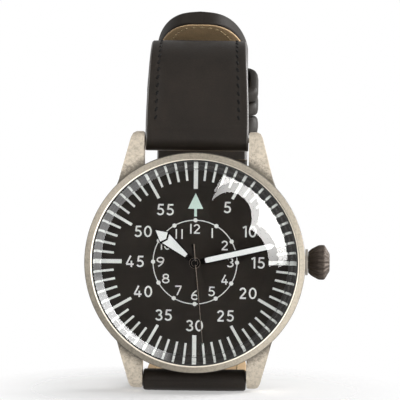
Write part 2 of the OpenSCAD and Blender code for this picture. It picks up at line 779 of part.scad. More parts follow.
module taper_above(y1, y2) {
    h = half_w;
    w = strap_w / 2;
    linear_extrude(height = 200, center = true)
        polygon([[-w, -99], [w, -99], [w, y1], [h, y2], [h, 99], [-h, 99], [-h, y2], [-w, y1]]);
}

// Leather of the short piece, from the upper lugs over the top to the buckle
module strap_short() {
    shell = short_t - lining_t;
    rim = 1.7; // half of the notch for the tongue
    color([0.2, 0.18, 0.16]) difference() {
        intersection() {
            across(strap_w) polygon(concat(
                arc(pin_top, roll_r, n1 - 180, n1 - 360),
                arc(front_bend, front_bend_r, n1, n2),
                arc(rear_bend, rear_bend_r, n2, 0),
                arc(hinge, short_t / 2, 0, -180),
                [[loop_depth - short_t, flap_z], [loop_depth - shell, flap_z]],
                arc(rear_bend, rear_bend_r - shell, 0, n2),
                arc(front_bend, front_bend_r - shell, n2, n1),
                [nose_top - shell * [cos(n1), sin(n1)], nose_top - short_t * [cos(n1), sin(n1)]]));
            taper_front(bar_y, rear_bend_z + rear_bend_r - 1);
            taper_above(front_bend_y + 4, rear_bend[0] - 6);
        }
        along_x(-strap_w, strap_w, leather_bore, pin_top);
        along_x(-strap_w, strap_w, leather_bore, hinge);
        translate([-rim, hinge[0] - 3, hinge_z - 3]) cube([2 * rim, 6, 5]);
    }
}

module lining_short() {
    shell = short_t - lining_t;
    color([0.5, 0.38, 0.25]) intersection() {
        across(strap_w) polygon(concat(
            [nose_top - shell * [cos(n1), sin(n1)]],
            arc(front_bend, front_bend_r - shell, n1, n2),
            arc(rear_bend, rear_bend_r - shell, n2, 0),
            [[loop_depth - shell, flap_z], [loop_depth - short_t, flap_z]],
            arc(rear_bend, rear_bend_r - short_t, 0, n2),
            arc(front_bend, front_bend_r - short_t, n2, n1),
            [nose_top - short_t * [cos(n1), sin(n1)]]));
        taper_front(bar_y, rear_bend_z + rear_bend_r - 1);
        taper_above(front_bend_y + 4, rear_bend[0] - 6);
    }
}

// Half width of the tail's end at a distance from its tip
function tip_half(a) = half_w * pow(1 - pow(1 - a / tip_taper, 1.6), 1 / 3);

// What the tail's rounded end leaves off, between two depths under the outer face
module tip_cut() {
    steps = 14;
    side = [for (i = [0 : steps]) let (a = tip_taper * pow(i / steps, 2)) [tip_half(a), a]];
    translate([0, tip_end[0], tip_end[1]]) rotate([-tip_slope, 0, 0])
        translate([0, 0, -long_t - 1]) linear_extrude(height = long_t + 2)
            for (s = [-1, 1]) polygon(concat(
                [[0, 0], [0, -2], [s * (half_w + 2), -2], [s * (half_w + 2), tip_taper]],
                [for (i = [steps : -1 : 1]) [s * side[i][0], side[i][1]]]));
}

module strap_holes() {
    for (i = [-hole_count : hole_count]) if (i != 0)
        translate([0, tail_y - long_t - 1, tongue_hole_z + i * hole_pitch]) rotate([-90, 0, 0])
            cylinder(h = long_t + 2, r = hole_d / 2, $fn = 32);
    translate([-hole_d / 2, tail_y - long_t - 1, tongue_hole_z - slot_drop])
        cube([hole_d, long_t + 2, tongue_slot]);
}

// Leather of the long piece, from the lower lugs up behind the wrist to its free end
module strap_long() {
    shell = long_t - lining_t;
    color([0.2, 0.18, 0.16]) difference() {
        intersection() {
            across(strap_w) polygon(concat(
                arc(pin_low, roll_r, 90, 270),
                arc(low_bend, low_bend_r, -90, 0),
                arc(rear_bend, tail_r, 0, tip_normal),
                [tip_end, tip_end + shell * tip_in],
                arc(rear_bend, tail_r - shell, tip_normal, 0),
                arc(low_bend, low_bend_r - shell, 0, -90),
                [nose_low + [0, shell], nose_low + [0, long_t]]));
            taper_above(-bar_h, low_bend[0]);
        }
        along_x(-strap_w, strap_w, leather_bore, pin_low);
        tip_cut();
        strap_holes();
    }
}

module lining_long() {
    shell = long_t - lining_t;
    color([0.53, 0.39, 0.27]) difference() {
        intersection() {
            across(strap_w) polygon(concat(
                [nose_low + [0, shell]],
                arc(low_bend, low_bend_r - shell, -90, 0),
                arc(rear_bend, tail_r - shell, 0, tip_normal),
                [tip_end + shell * tip_in, tip_end + long_t * tip_in],
                arc(rear_bend, tail_r - long_t, tip_normal, 0),
                arc(low_bend, low_bend_r - long_t, 0, -90),
                [nose_low + [0, long_t]]));
            taper_above(-bar_h, low_bend[0]);
        }
        tip_cut();
        strap_holes();
    }
}

// Cross-section of a keeper: x from the rear bend's axis, y across the strap
module keeper_section() {
    wide = half_w + slack;
    deep = keeper_out - keeper_in;
    difference() {
        translate([keeper_in - keeper_t, -wide - keeper_side])
            square([deep + 2 * keeper_t, 2 * (wide + keeper_side)]);
        translate([keeper_in, -wide]) square([deep, 2 * wide]);
    }
}

// Keeper wrapped round the rear bend between two angles
module bent_keeper(a0, a1) {
    translate([0, rear_bend[0], rear_bend[1]]) rotate([0, 90, 0]) rotate([0, 0, 90])
        rotate([0, 0, a0]) rotate_extrude(angle = a1 - a0, $fn = 96) keeper_section();
}

module keeper_sliding() {
    color([0.16, 0.15, 0.14]) bent_keeper(keeper_start, keeper_start + keeper_arc);
}

module keeper_middle() {
    color([0.16, 0.15, 0.14]) bent_keeper(middle_start, middle_start + middle_arc);
}

module keeper_fixed() {
    top = rear_bend_z + (keeper_in - keeper_t) * sin(middle_start) - slack;
    color([0.16, 0.15, 0.14]) translate([0, rear_bend[0], top - sewn_h]) rotate([0, 0, 90])
        linear_extrude(height = sewn_h) keeper_section();
}

module buckle_frame() {
    eye_r = 1.3;
    color([0.65, 0.62, 0.58]) difference() {
        union() {
            for (s = [-1, 1]) {
                x0 = s > 0 ? frame_in : -frame_in - arm_t;
                along_x(x0, x0 + arm_t, eye_r, hinge);
                along_x(x0, x0 + arm_t, front_bar_r, front_bar);
                translate([x0, hinge[0], hinge[1]]) rotate([frame_lean, 0, 0])
                    translate([0, -front_bar_r, -frame_l]) cube([arm_t, 2 * front_bar_r, frame_l]);
            }
            along_x(-frame_in - arm_t, frame_in + arm_t, front_bar_r, front_bar);
        }
        for (s = [-1, 1]) along_x(s * (frame_in + arm_t / 2) - arm_t, s * (frame_in + arm_t / 2) + arm_t,
            pivot_r + fit, hinge);
    }
}

// Tongue: an eye on the buckle's pin and a bent strip that crosses the strap and lies on the front bar
module buckle_tongue() {
    eye_r = bar_r + fit + 0.55;
    root = [hinge[0] + 0.9, hinge_z - 1.3];
    knee = [tail_y + slack + tongue_t / 2 + 0.3, tongue_hole_z - 0.75];
    to_bar = front_bar - knee;
    rest_r = front_bar_r + tongue_t / 2 + run; // the tongue's middle passes the front bar at this distance
    turn = atan2(to_bar[1], to_bar[0]) + asin(rest_r / norm(to_bar));
    tip = knee + (norm(to_bar) + 1) * [cos(turn), sin(turn)];
    color([0.65, 0.62, 0.58]) difference() {
        union() {
            along_x(-tongue_w / 2, tongue_w / 2, eye_r, hinge);
            strip(root, knee);
            strip(knee, tip);
        }
        along_x(-tongue_w, tongue_w, bar_r + fit, hinge);
    }
}

// A straight stretch of the tongue in the side view, rounded at both ends
module strip(a, b) {
    d = b - a;
    for (p = [a, b]) along_x(-tongue_w / 2, tongue_w / 2, tongue_t / 2, p);
    translate([-tongue_w / 2, a[0], a[1]]) rotate([atan2(d[1], d[0]), 0, 0])
        translate([0, 0, -tongue_t / 2]) cube([tongue_w, norm(d), tongue_t]);
}

mid_case();
bezel();
crystal();
crystal_gasket();
chapter_ring();
dial();
case_back();
back_gasket();
crown_tube();
crown();
crown_gasket();
stem();
setting_pinion();
setting_lever();
hour_hand();
hour_hand_lume();
minute_hand();
minute_hand_lume();
second_hand();
main_plate();
train_bridge();
holder_ring();
battery();
circuit_board();
coil();
stator();
rotor();
step_wheel();
fourth_wheel();
third_wheel();
centre_wheel();
cannon_pinion();
minute_wheel();
hour_wheel();
spring_bar_upper();
spring_bar_lower();
spring_bar_buckle();
strap_short();
lining_short();
strap_long();
lining_long();
keeper_sliding();
keeper_middle();
keeper_fixed();
buckle_frame();
buckle_tongue();
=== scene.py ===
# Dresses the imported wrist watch: metal, dial print, crystal, leather and thread, then the studio
import json
import math

import bmesh
import bpy
import numpy as np
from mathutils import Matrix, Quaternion, Vector

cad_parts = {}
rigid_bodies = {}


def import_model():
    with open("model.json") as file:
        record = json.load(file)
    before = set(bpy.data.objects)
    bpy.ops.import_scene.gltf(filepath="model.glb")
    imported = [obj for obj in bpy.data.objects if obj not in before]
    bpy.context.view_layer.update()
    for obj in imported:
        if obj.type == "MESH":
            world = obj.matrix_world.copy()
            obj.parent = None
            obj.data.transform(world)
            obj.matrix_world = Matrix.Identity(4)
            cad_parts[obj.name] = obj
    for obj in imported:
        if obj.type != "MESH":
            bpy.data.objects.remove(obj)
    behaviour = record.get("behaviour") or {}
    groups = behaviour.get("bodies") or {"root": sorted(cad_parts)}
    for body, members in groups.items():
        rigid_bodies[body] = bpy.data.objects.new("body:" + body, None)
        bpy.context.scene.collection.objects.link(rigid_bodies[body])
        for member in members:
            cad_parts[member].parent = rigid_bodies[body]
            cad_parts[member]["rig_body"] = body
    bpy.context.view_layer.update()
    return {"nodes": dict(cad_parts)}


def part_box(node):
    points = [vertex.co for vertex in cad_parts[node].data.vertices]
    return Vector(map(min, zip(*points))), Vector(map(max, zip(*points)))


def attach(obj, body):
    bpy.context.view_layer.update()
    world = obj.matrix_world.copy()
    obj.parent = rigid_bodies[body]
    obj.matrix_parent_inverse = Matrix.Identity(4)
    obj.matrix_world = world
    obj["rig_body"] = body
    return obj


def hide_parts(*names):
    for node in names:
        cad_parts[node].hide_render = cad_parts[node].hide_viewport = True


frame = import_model()
mm = 0.001


# Head coordinates in mm (x right, y up, z towards the viewer) to the frame's metres
def fromHead(points):
    points = np.asarray(points, float)
    return np.stack([points[..., 0], -points[..., 2], points[..., 1]], -1) * mm


def unitRows(vectors):
    return vectors / np.linalg.norm(vectors, axis=-1, keepdims=True)


# Quads of a grid of rows and columns, each direction open or closed
def gridFaces(rows, cols, closeRows=False, closeCols=False):
    r = np.arange(rows if closeRows else rows - 1)
    c = np.arange(cols if closeCols else cols - 1)
    r, c = np.meshgrid(r, c, indexing="ij")
    r2, c2 = (r + 1) % rows, (c + 1) % cols
    return np.stack([r * cols + c, r * cols + c2, r2 * cols + c2, r2 * cols + c], -1).reshape(-1, 4)


# Quads of a tube of closed rows, with one face over each end
def cappedGrid(rows, cols):
    faces = gridFaces(rows, cols, False, True).tolist()
    return faces + [list(range(cols)), list(range((rows - 1) * cols, rows * cols))]


def addObject(name, data):
    added = bpy.data.objects.new(name, data)
    bpy.context.scene.collection.objects.link(added)
    return added


def smoothFaces(mesh, sharp):
    mesh.polygons.foreach_set("use_smooth", np.ones(len(mesh.polygons), bool))
    mesh.set_sharp_from_angle(angle=math.radians(sharp))


def addPiece(name, mesh, body, node):
    piece = addObject(name, mesh)
    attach(piece, body)
    if node:
        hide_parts(node)
    return piece


# One mesh object from points and faces, in the place of a node if it is named; seams and poles are
# merged and faces turned outwards, and marks give each face's material
def meshPiece(name, points, faces, body, slotName, materials, marks=None, sharp=35, merge=1e-7, node=None):
    mesh = bpy.data.meshes.new(name)
    mesh.from_pydata(np.asarray(points, float).reshape(-1, 3), [], [list(face) for face in faces])
    for material in materials if isinstance(materials, list) else [materials]:
        mesh.materials.append(material)
    if marks is not None:
        mesh.polygons.foreach_set("material_index", np.asarray(marks, np.int32))
    work = bmesh.new()
    work.from_mesh(mesh)
    bmesh.ops.remove_doubles(work, verts=work.verts, dist=merge)
    loose = [edge for edge in work.edges if not edge.link_faces]
    bmesh.ops.delete(work, geom=loose, context="EDGES")
    bmesh.ops.recalc_face_normals(work, faces=work.faces)
    if work.calc_volume(signed=True) < 0:  # the recalculation can settle on the inside
        bmesh.ops.reverse_faces(work, faces=work.faces)
    work.to_mesh(mesh)
    work.free()
    smoothFaces(mesh, sharp)
    return addPiece(name, mesh, body, node)


# A closed profile of (radius, height) turned about the hands' axis: x = r sin a, y = r cos a, z = h
def lathe(name, profile, body, slotName, materials, node, steps=256, marks=None, sharp=30):
    profile = np.asarray(profile, float)
    a = np.linspace(0, 2 * np.pi, steps, endpoint=False)[:, None]
    r, h = profile[None, :, 0], profile[None, :, 1]
    points = fromHead(np.stack([r * np.sin(a), r * np.cos(a), h + 0 * a], -1))
    faces = gridFaces(steps, len(profile), True, True)
    marks = None if marks is None else np.tile(marks, steps)
    meshPiece(name, points, faces, body, slotName, materials, marks, sharp, node=node)


# Copy of a CAD node with its loose triangles joined, flat faces made whole and edges rounded
def roundedCopy(node, name, width, material, segments=3, angle=32):
    source = frame["nodes"][node]
    mesh = source.data.copy()
    mesh.name = name
    mesh.materials.clear()
    mesh.materials.append(material)
    work = bmesh.new()
    work.from_mesh(mesh)
    bmesh.ops.remove_doubles(work, verts=work.verts, dist=2e-7)
    bmesh.ops.dissolve_limit(work, angle_limit=math.radians(0.4), verts=work.verts, edges=work.edges)
    work.to_mesh(mesh)
    work.free()
    smoothFaces(mesh, angle)
    piece = addPiece(name, mesh, source["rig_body"], node)
    bevel = piece.modifiers.new("edges", "BEVEL")
    bevel.width = width * mm
    bevel.segments = segments
    bevel.limit_method = "ANGLE"
    bevel.angle_limit = math.radians(angle)
    bevel.harden_normals = True


# Shader building blocks
def feed(tree, socket, value):  # a number, a colour, a vector or a wire
    if isinstance(value, (int, float)):
        socket.default_value = value
    elif isinstance(value, tuple):
        socket.default_value = (*value, 1)[:len(socket.default_value)]
    else:
        tree.links.new(value, socket)


def feedAll(tree, node, inputs):  # inputs by their name or place
    for key, value in inputs.items():
        feed(tree, node.inputs[key], value)
    return node.outputs


def addNode(tree, kind, inputs):
    return feedAll(tree, tree.nodes.new("ShaderNode" + kind), inputs)


def startMaterial(name, **sockets):
    material = bpy.data.materials.new(name)
    material.use_nodes = True
    tree = material.node_tree
    feedAll(tree, tree.nodes["Principled BSDF"], {k.replace("_", " "): v for k, v in sockets.items()})
    return material, tree


def coordinates(tree, kind="Object"):
    return addNode(tree, "TexCoord", {})[kind]


def place(tree, stretch=(1, 1, 1)):  # object coordinates in metres, stretched
    return addNode(tree, "Mapping", {"Vector": coordinates(tree), "Scale": stretch})["Vector"]


def noise(tree, size, detail=4.0, rough=0.55, stretch=(1, 1, 1)):
    return addNode(tree, "TexNoise", {"Vector": place(tree, stretch), "Scale": 1 / (size * mm),
                                      "Detail": detail, "Roughness": rough})["Fac"]


def ramp(tree, source, stops):
    node = tree.nodes.new("ShaderNodeValToRGB")
    ends = node.color_ramp.elements
    ends[0].position, ends[0].color = stops[0][0], (*stops[0][1], 1)
    ends[1].position, ends[1].color = stops[-1][0], (*stops[-1][1], 1)
    for position, colour in stops[1:-1]:
        ends.new(position).color = (*colour, 1)
    return feedAll(tree, node, {"Fac": source})["Color"]


def maths(tree, operation, a, b=0.0):
    node = tree.nodes.new("ShaderNodeMath")
    node.operation = operation
    return feedAll(tree, node, {0: a, 1: b})[0]


def vectorMaths(tree, operation, source, other=(0, 0, 0)):
    node = tree.nodes.new("ShaderNodeVectorMath")
    node.operation = operation
    return feedAll(tree, node, {0: source, 1: other})["Value"]


def span(tree, source, low, high, toLow=0.0, toHigh=1.0):
    return addNode(tree, "MapRange", {"Value": source, "From Min": low, "From Max": high,
                                      "To Min": toLow, "To Max": toHigh})["Result"]


def mixColour(tree, factor, a, b, blend="MIX"):
    node = tree.nodes.new("ShaderNodeMix")
    node.data_type = "RGBA"
    node.blend_type = blend
    return feedAll(tree, node, {0: factor, 6: a, 7: b})[2]


def mixValue(tree, factor, a, b):
    return addNode(tree, "Mix", {0: factor, 2: a, 3: b})[0]


def shade(tint, factor):
    return tuple(min(1, c * factor) for c in tint)


# Colour, a roughness that runs from one value to another with a field, and a bump with a depth in mm
def coat(material, colour, field, rough, height, strength, depth, limits=(0.3, 0.7)):
    tree = material.node_tree
    bump = addNode(tree, "Bump", {"Strength": strength, "Distance": depth * mm, "Height": height})
    feedAll(tree, tree.nodes["Principled BSDF"], {
        "Base Color": colour, "Roughness": span(tree, field, *limits, *rough), "Normal": bump["Normal"]})
    return material


# The surface turns clear where the factor is 1
def clearWhere(tree, factor, tint=(1, 1, 1)):
    clear = addNode(tree, "BsdfTransparent", {"Color": tint})
    solid = tree.nodes["Principled BSDF"].outputs["BSDF"]
    mix = addNode(tree, "MixShader", {0: factor, 1: solid, 2: clear["BSDF"]})
    feed(tree, tree.nodes["Material Output"].inputs["Surface"], mix["Shader"])


# Distance from the hands' axis in mm: sqrt(x^2 + z^2) of the object coordinates
def axisDistance(tree):
    part = addNode(tree, "SeparateXYZ", {0: coordinates(tree)})
    squares = [maths(tree, "POWER", maths(tree, "ABSOLUTE", part[k]), 2.0) for k in "XZ"]
    return maths(tree, "MULTIPLY", maths(tree, "SQRT", maths(tree, "ADD", *squares)), 1000.0)


# Stone-washed steel: blotchy warm grey. With the root switch on it gets dark specks towards the case band and
# a painted shade where the lugs meet it, darkEdge is a pair of radii in mm between which the colour falls to
# dark.
def washedSteel(name, tint, roughness, grain, rootSpecksAndShade=True, darkEdge=None):
    material, tree = startMaterial(name, Metallic=1.0)
    blotch = noise(tree, grain * 2.4, 5.0, 0.65)
    speck = noise(tree, grain, 3.0, 0.7)
    colour = ramp(tree, blotch, [(0.34, shade(tint, 0.72)), (0.52, tint), (0.68, shade(tint, 1.12))])
    radius = axisDistance(tree)
    if rootSpecksAndShade:
        speckLine = span(tree, radius, 20.6, 25.0, 0.5, 0.33)
        level = span(tree, maths(tree, "SUBTRACT", speck, speckLine), -0.1, 0.03, 0.8, 0.0)
        colour = mixColour(tree, level, colour, shade(tint, 0.3))
        # painted shade: the colour falls to near black close to the case band, where the lugs meet it
        paintedRootShade = maths(tree, "ADD", radius, maths(tree, "MULTIPLY", blotch, 1.6))
        colour = mixColour(tree, span(tree, paintedRootShade, 21.9, 23.5, 0.9, 0.0), colour, shade(tint, 0.2))
    if darkEdge:
        colour = mixColour(tree, span(tree, radius, *darkEdge), colour, shade(tint, 0.18))
    height = maths(tree, "ADD", speck, blotch)
    return coat(material, colour, blotch, (roughness - 0.08, roughness + 0.1), height, 0.5, grain * 0.12)


# Turned or brushed metal: fine rings about the hands' axis, or streaks along one direction
def workedMetal(name, tint, roughness, stretch=None, grain=0.5, strength=0.15):
    material, tree = startMaterial(name, Metallic=1.0)
    if stretch is None:
        rings = tree.nodes.new("ShaderNodeTexNoise")
        rings.noise_dimensions = "1D"
        field = feedAll(tree, rings, {"W": axisDistance(tree), "Scale": 6 / grain, "Detail": 4.0})["Fac"]
    else:
        field = noise(tree, grain, 4.0, 0.6, stretch)
    colour = ramp(tree, field, [(0.3, shade(tint, 0.84)), (0.7, shade(tint, 1.1))])
    return coat(material, colour, field, (roughness - 0.06, roughness + 0.08), field, strength, 0.02)


# Two noise fields that change a tint both ways, half and half
def mottled(tree, tint, change, first, second, stop):
    low, high = shade(tint, 1 - change), shade(tint, 1 + change)
    return mixColour(tree, 0.5, ramp(tree, first, [(0.3, low), (0.7, high)]),
                     ramp(tree, second, [(0.35, low), (stop, high)]))


# Painted or moulded finish: fine grain, faint colour change
def paintedFinish(name, tint, roughness, grain=0.12, change=0.12, depth=0.01, shine=0.5):
    material, tree = startMaterial(name, Specular_IOR_Level=shine)
    field = noise(tree, grain, 4.0, 0.6)
    colour = mottled(tree, tint, change, field, noise(tree, grain * 30, 3.0, 0.5), 0.65)
    return coat(material, colour, field, (roughness - 0.05, roughness + 0.05), field, 0.3, depth)


# Leather: small pebbled cells under a finer pore noise, with slow changes of shade and shine
def leatherFinish(name, tint, roughness, cell=0.55, depth=0.035, change=0.3, shine=0.22):
    material, tree = startMaterial(name, Specular_IOR_Level=shine)
    grain = tree.nodes.new("ShaderNodeTexVoronoi")
    grain.feature = "DISTANCE_TO_EDGE"
    pebbles = feedAll(tree, grain, {"Vector": place(tree), "Scale": 1 / (cell * mm)})["Distance"]
    pores = noise(tree, cell * 0.4, 4.0, 0.6)
    scuff = noise(tree, 2.2, 6.0, 0.7, (1, 1, 0.35))
    colour = mottled(tree, tint, change, noise(tree, 9.0, 3.0, 0.5), scuff, 0.75)
    # darker along the cells' edges: painted shade in the grain's creases
    colour = mixColour(tree, 1.0, colour, span(tree, pebbles, 0.0, 0.12, 0.8, 1.0), "MULTIPLY")
    height = maths(tree, "ADD", maths(tree, "MULTIPLY", span(tree, pebbles, 0.0, 0.25), 0.7), pores)
    return coat(material, colour, scuff, (roughness - 0.07, roughness + 0.1), height, 0.35, depth)


# Twisted thread: slanted dark lines across the strand
def threadFinish(name, tint, roughness):
    material, tree = startMaterial(name, Specular_IOR_Level=0.15)
    wave = tree.nodes.new("ShaderNodeTexWave")
    wave.bands_direction = "DIAGONAL"
    twist = feedAll(tree, wave, {"Vector": place(tree), "Scale": 2600, "Distortion": 1.5})["Fac"]
    colour = ramp(tree, twist, [(0.1, shade(tint, 0.55)), (0.8, tint)])
    return coat(material, colour, twist, (roughness + 0.1, roughness), twist, 0.4, 0.03, (0, 1))


# Clear glass that lets the lamps through to the dial
def crystalGlass(name):
    material, tree = startMaterial(name, Base_Color=(1, 1, 1), Roughness=0.0, IOR=1.77,
                                   Transmission_Weight=1.0)
    clearWhere(tree, addNode(tree, "LightPath", {})["Is Shadow Ray"], (0.96, 0.97, 0.97))
    return material


def crownFinish(name):
    material, tree = startMaterial(name, Metallic=0.8)
    blotch = noise(tree, 0.35, 5.0, 0.65)
    colour = ramp(tree, blotch, [(0.3, (0.05, 0.039, 0.031)), (0.7, (0.085, 0.068, 0.056))])
    return coat(material, colour, blotch, (0.45, 0.6), blotch, 0.35, 0.02)


caseSteel = washedSteel("caseSteel", (0.58, 0.514, 0.422), 0.5, 0.24)
bezelSteel = washedSteel("bezelSteel", (0.31, 0.278, 0.228), 0.5, 0.16, False, (20.85, 21.0))
# the lip's steel is far lighter than the ring's at the same roughness: a painted highlight line round the
# glass
lipHighlightSteel = workedMetal("lipHighlightSteel", (0.88, 0.81, 0.69), 0.5)
backSteel = workedMetal("backSteel", (0.68, 0.67, 0.65), 0.32)
tubeSteel = workedMetal("tubeSteel", (0.36, 0.33, 0.29), 0.4, (8, 1, 1), 0.3)
buckleSteel = washedSteel("buckleSteel", (0.42, 0.375, 0.31), 0.45, 0.24, False)
movementBrass = workedMetal("movementBrass", (0.78, 0.6, 0.3), 0.3, (1, 1, 6), 0.6)
copperWire = workedMetal("copperWire", (0.75, 0.33, 0.14), 0.35, (14, 1, 1), 0.4, 0.6)
dialPaint = paintedFinish("dialPaint", (0.0205, 0.0163, 0.0128), 0.65, 0.09, 0.18, shine=0.12)
chapterPaint = paintedFinish("chapterPaint", (0.018, 0.0155, 0.013), 0.55, 0.1, 0.15, shine=0.15)
handPaint = paintedFinish("handPaint", (0.004, 0.003, 0.0024), 0.17, 0.08, 0.2, 0.003, 0.3)
# lighter metal put only on the flanks where the light catches: painted highlights
flankHighlightMetal = workedMetal("flankHighlightMetal", (0.26, 0.21, 0.17), 0.4)
whiteLume = paintedFinish("whiteLume", (0.86, 0.88, 0.86), 0.6, 0.07, 0.03, 0.008)
printWhite = paintedFinish("printWhite", (0.78, 0.8, 0.765), 0.6, 0.1, 0.06, 0.006)
printMint = paintedFinish("printMint", (0.57, 0.72, 0.645), 0.6, 0.1, 0.06, 0.006)
sealRubber = paintedFinish("sealRubber", (0.018, 0.018, 0.018), 0.6, 0.2, 0.2)
holderPlastic = paintedFinish("holderPlastic", (0.78, 0.77, 0.72), 0.45, 0.3, 0.05)
boardGreen = paintedFinish("boardGreen", (0.03, 0.16, 0.07), 0.35, 0.4, 0.25)
blackLeather = leatherFinish("blackLeather", (0.0188, 0.0147, 0.0115), 0.52, shine=0.18)
keeperLeather = leatherFinish("keeperLeather", (0.02, 0.0165, 0.0132), 0.47, 0.45)
edgePaint = paintedFinish("edgePaint", (0.016, 0.013, 0.0105), 0.6, 0.3, 0.3, 0.03, 0.15)
edgeGloss = paintedFinish("edgeGloss", (0.05, 0.043, 0.038), 0.4, 0.3, 0.3, 0.01, 0.9)
tanLining = leatherFinish("tanLining", (0.6, 0.42, 0.24), 0.62, 0.4, 0.03, 0.2)
blackThread = threadFinish("blackThread", (0.006, 0.0055, 0.005), 0.55)
paleThread = threadFinish("paleThread", (0.5, 0.38, 0.22), 0.6)
glass = crystalGlass("crystalGlass")
crownBronze = crownFinish("crownBronze")
print("materials made:", len(bpy.data.materials))

# Finishes of the CAD nodes, seen or hidden
nodeFinishes = [
    (sealRubber, "crystal_gasket back_gasket crown_gasket"),
    (tubeSteel, "crown_tube stem setting_lever stator rotor cannon_pinion spring_bar_upper"
                " spring_bar_lower spring_bar_buckle"),
    (movementBrass, "setting_pinion main_plate train_bridge step_wheel fourth_wheel third_wheel"
                    " centre_wheel minute_wheel hour_wheel"),
    (chapterPaint, "chapter_ring"),
    (dialPaint, "dial"),
    (handPaint, "hour_hand minute_hand second_hand"),
    (whiteLume, "hour_hand_lume minute_hand_lume"),
    (holderPlastic, "holder_ring"),
    (backSteel, "battery"),
    (boardGreen, "circuit_board"),
    (copperWire, "coil"),
]
for finish, nodeNames in nodeFinishes:
    for node in nodeNames.split():
        slots = frame["nodes"][node].data.materials
        slots.clear()
        slots.append(finish)

# Case and bezel
roundedCopy("mid_case", "case_body", 0.22, caseSteel)
roundedCopy("case_back", "case_back_cover", 0.1, backSteel)
roundedCopy("buckle_frame", "buckle_frame_rounded", 0.4, buckleSteel, 4)
roundedCopy("buckle_tongue", "buckle_tongue_rounded", 0.22, buckleSteel, 3)

bezelSizes = {"outer": 21.0, "inner": 19.6, "top": 10.4, "low": 8.0, "fall": 0.28,
              "edge": 0.26, "curve": 0.34}  # width and height of the rounded outer edge


# Section of the ring: flat top, outer edge a quarter of an ellipse, x = outer - edge (1 - cos q) and
# z = foot + curve sin q, and a small lip that falls to the glass
def bezelProfile():
    b = bezelSizes
    foot = b["top"] - b["fall"] - b["curve"]
    under = [(b["inner"], b["low"]), (b["outer"] - 0.2, b["low"]), (b["outer"] - 0.05, b["low"] + 0.06),
             (b["outer"], b["low"] + 0.22), (b["outer"], foot)]
    bend = [(b["outer"] - b["edge"] * (1 - math.cos(q)), foot + b["curve"] * math.sin(q))
            for q in np.linspace(0.12, 1, 8) * math.pi / 2]
    lip = [(b["inner"] + 0.35, b["top"]), (b["inner"] + 0.22, b["top"] - 0.01),
           (b["inner"] + 0.02, b["top"] - 0.12), (b["inner"], b["top"] - 0.3)]
    return under + bend + lip


profile = bezelProfile()
marks = np.zeros(len(profile), int)
marks[-3:-1] = 1  # the polished lip round the glass, in a far lighter steel: a painted highlight line
lathe("bezel_ring", profile, "case", "bezel_steel", [bezelSteel, lipHighlightSteel], "bezel", 256, marks, 16)
print("case and bezel done")

# Crystal
glassSizes = {"rim": 19.3, "edge": 17.65, "low": 8.7, "rimTop": 10.3, "edgeTop": 11.158, "apex": 12.6,
              "wall": 1.1, "edgeWall": 1.0, "ledge": 9.7}


# Part of a sphere over a rim: height = apex - (R - sqrt(R^2 - r^2))
def domeHeights(r, edge, edgeTop, apex):
    rise = apex - edgeTop
    big = (edge * edge + rise * rise) / (2 * rise)
    return apex - big + np.sqrt(big * big - r * r)


# Section of the crystal: an outer and an inner dome, joined by the foot in its seat
def glassProfile():
    g = glassSizes
    outerR = np.linspace(g["edge"], 0, 40)
    outer = domeHeights(outerR, g["edge"], g["edgeTop"], g["apex"])
    innerR = np.linspace(0, g["edge"] - 0.07, 40)
    inner = domeHeights(innerR, g["edge"], g["edgeTop"] - g["edgeWall"], g["apex"] - g["wall"])
    foot = [(g["edge"] - 0.05, g["ledge"]), (g["edge"] - 0.05, g["low"]), (g["rim"], g["low"]),
            (g["rim"], g["rimTop"])]
    return np.concatenate([np.stack([outerR, outer], 1), np.stack([innerR, inner], 1), foot])


lathe("crystal_dome", glassProfile(), "case", "crystal", glass, "crystal", 192, None, 12)
print("crystal done")

# Crown
crownSizes = {"base": 21.57, "axisZ": 4.15, "length": 4.1, "flutes": 16, "depth": 0.3, "bore": 1.25,
              "boreDepth": 1.5}
crownStations = np.array([  # distance from the base, radius, share of the flutes' depth
    (0.0, 1.98, 0.2), (0.1, 2.1, 0.5), (0.2, 2.2, 0.7), (0.42, 2.42, 1), (0.65, 2.6, 1), (1.0, 2.8, 1),
    (1.32, 2.97, 1), (1.7, 3.17, 1), (2.0, 3.3, 1), (2.2, 3.34, 1), (2.5, 3.35, 1), (2.8, 3.35, 1),
    (3.0, 3.33, 1), (3.1, 3.27, 1), (3.25, 3.1, 1), (3.4, 2.86, 1), (3.7, 2.35, 0.95), (3.9, 2.0, 0.7),
    (4.0, 1.84, 0.4), (4.06, 1.76, 0.2), (4.1, 1.6, 0)])


# Fluted onion: radius = profile(along) - depth * share(along) * (0.5 + 0.5 cos(flutes * angle))^1.6
def flutedCrown():
    c = crownSizes
    along, radius, share = crownStations.T
    a = np.linspace(0, 2 * np.pi, c["flutes"] * 14, endpoint=False)
    groove = (0.5 + 0.5 * np.cos(c["flutes"] * a)) ** 1.6
    skin = radius[:, None] - c["depth"] * share[:, None] * groove[None, :]
    bore = np.array([(0.0, c["boreDepth"]), (c["bore"], c["boreDepth"]), (c["bore"], 0.0)])
    end = np.array([(1.2, c["length"]), (0.6, c["length"]), (0.0, c["length"])])
    rings = np.concatenate([np.repeat(bore[:, :1], len(a), 1), skin, np.repeat(end[:, :1], len(a), 1)])
    steps = np.concatenate([bore[:, 1], along, end[:, 1]])
    x = c["base"] + steps[:, None] + 0 * rings
    points = fromHead(np.stack([x, rings * np.cos(a), c["axisZ"] + rings * np.sin(a)], -1))
    return points, gridFaces(len(steps), len(a), False, True)


meshPiece("crown_onion", *flutedCrown(), "crown", "crown_bronze", crownBronze, None, 50, node="crown")
print("crown done")

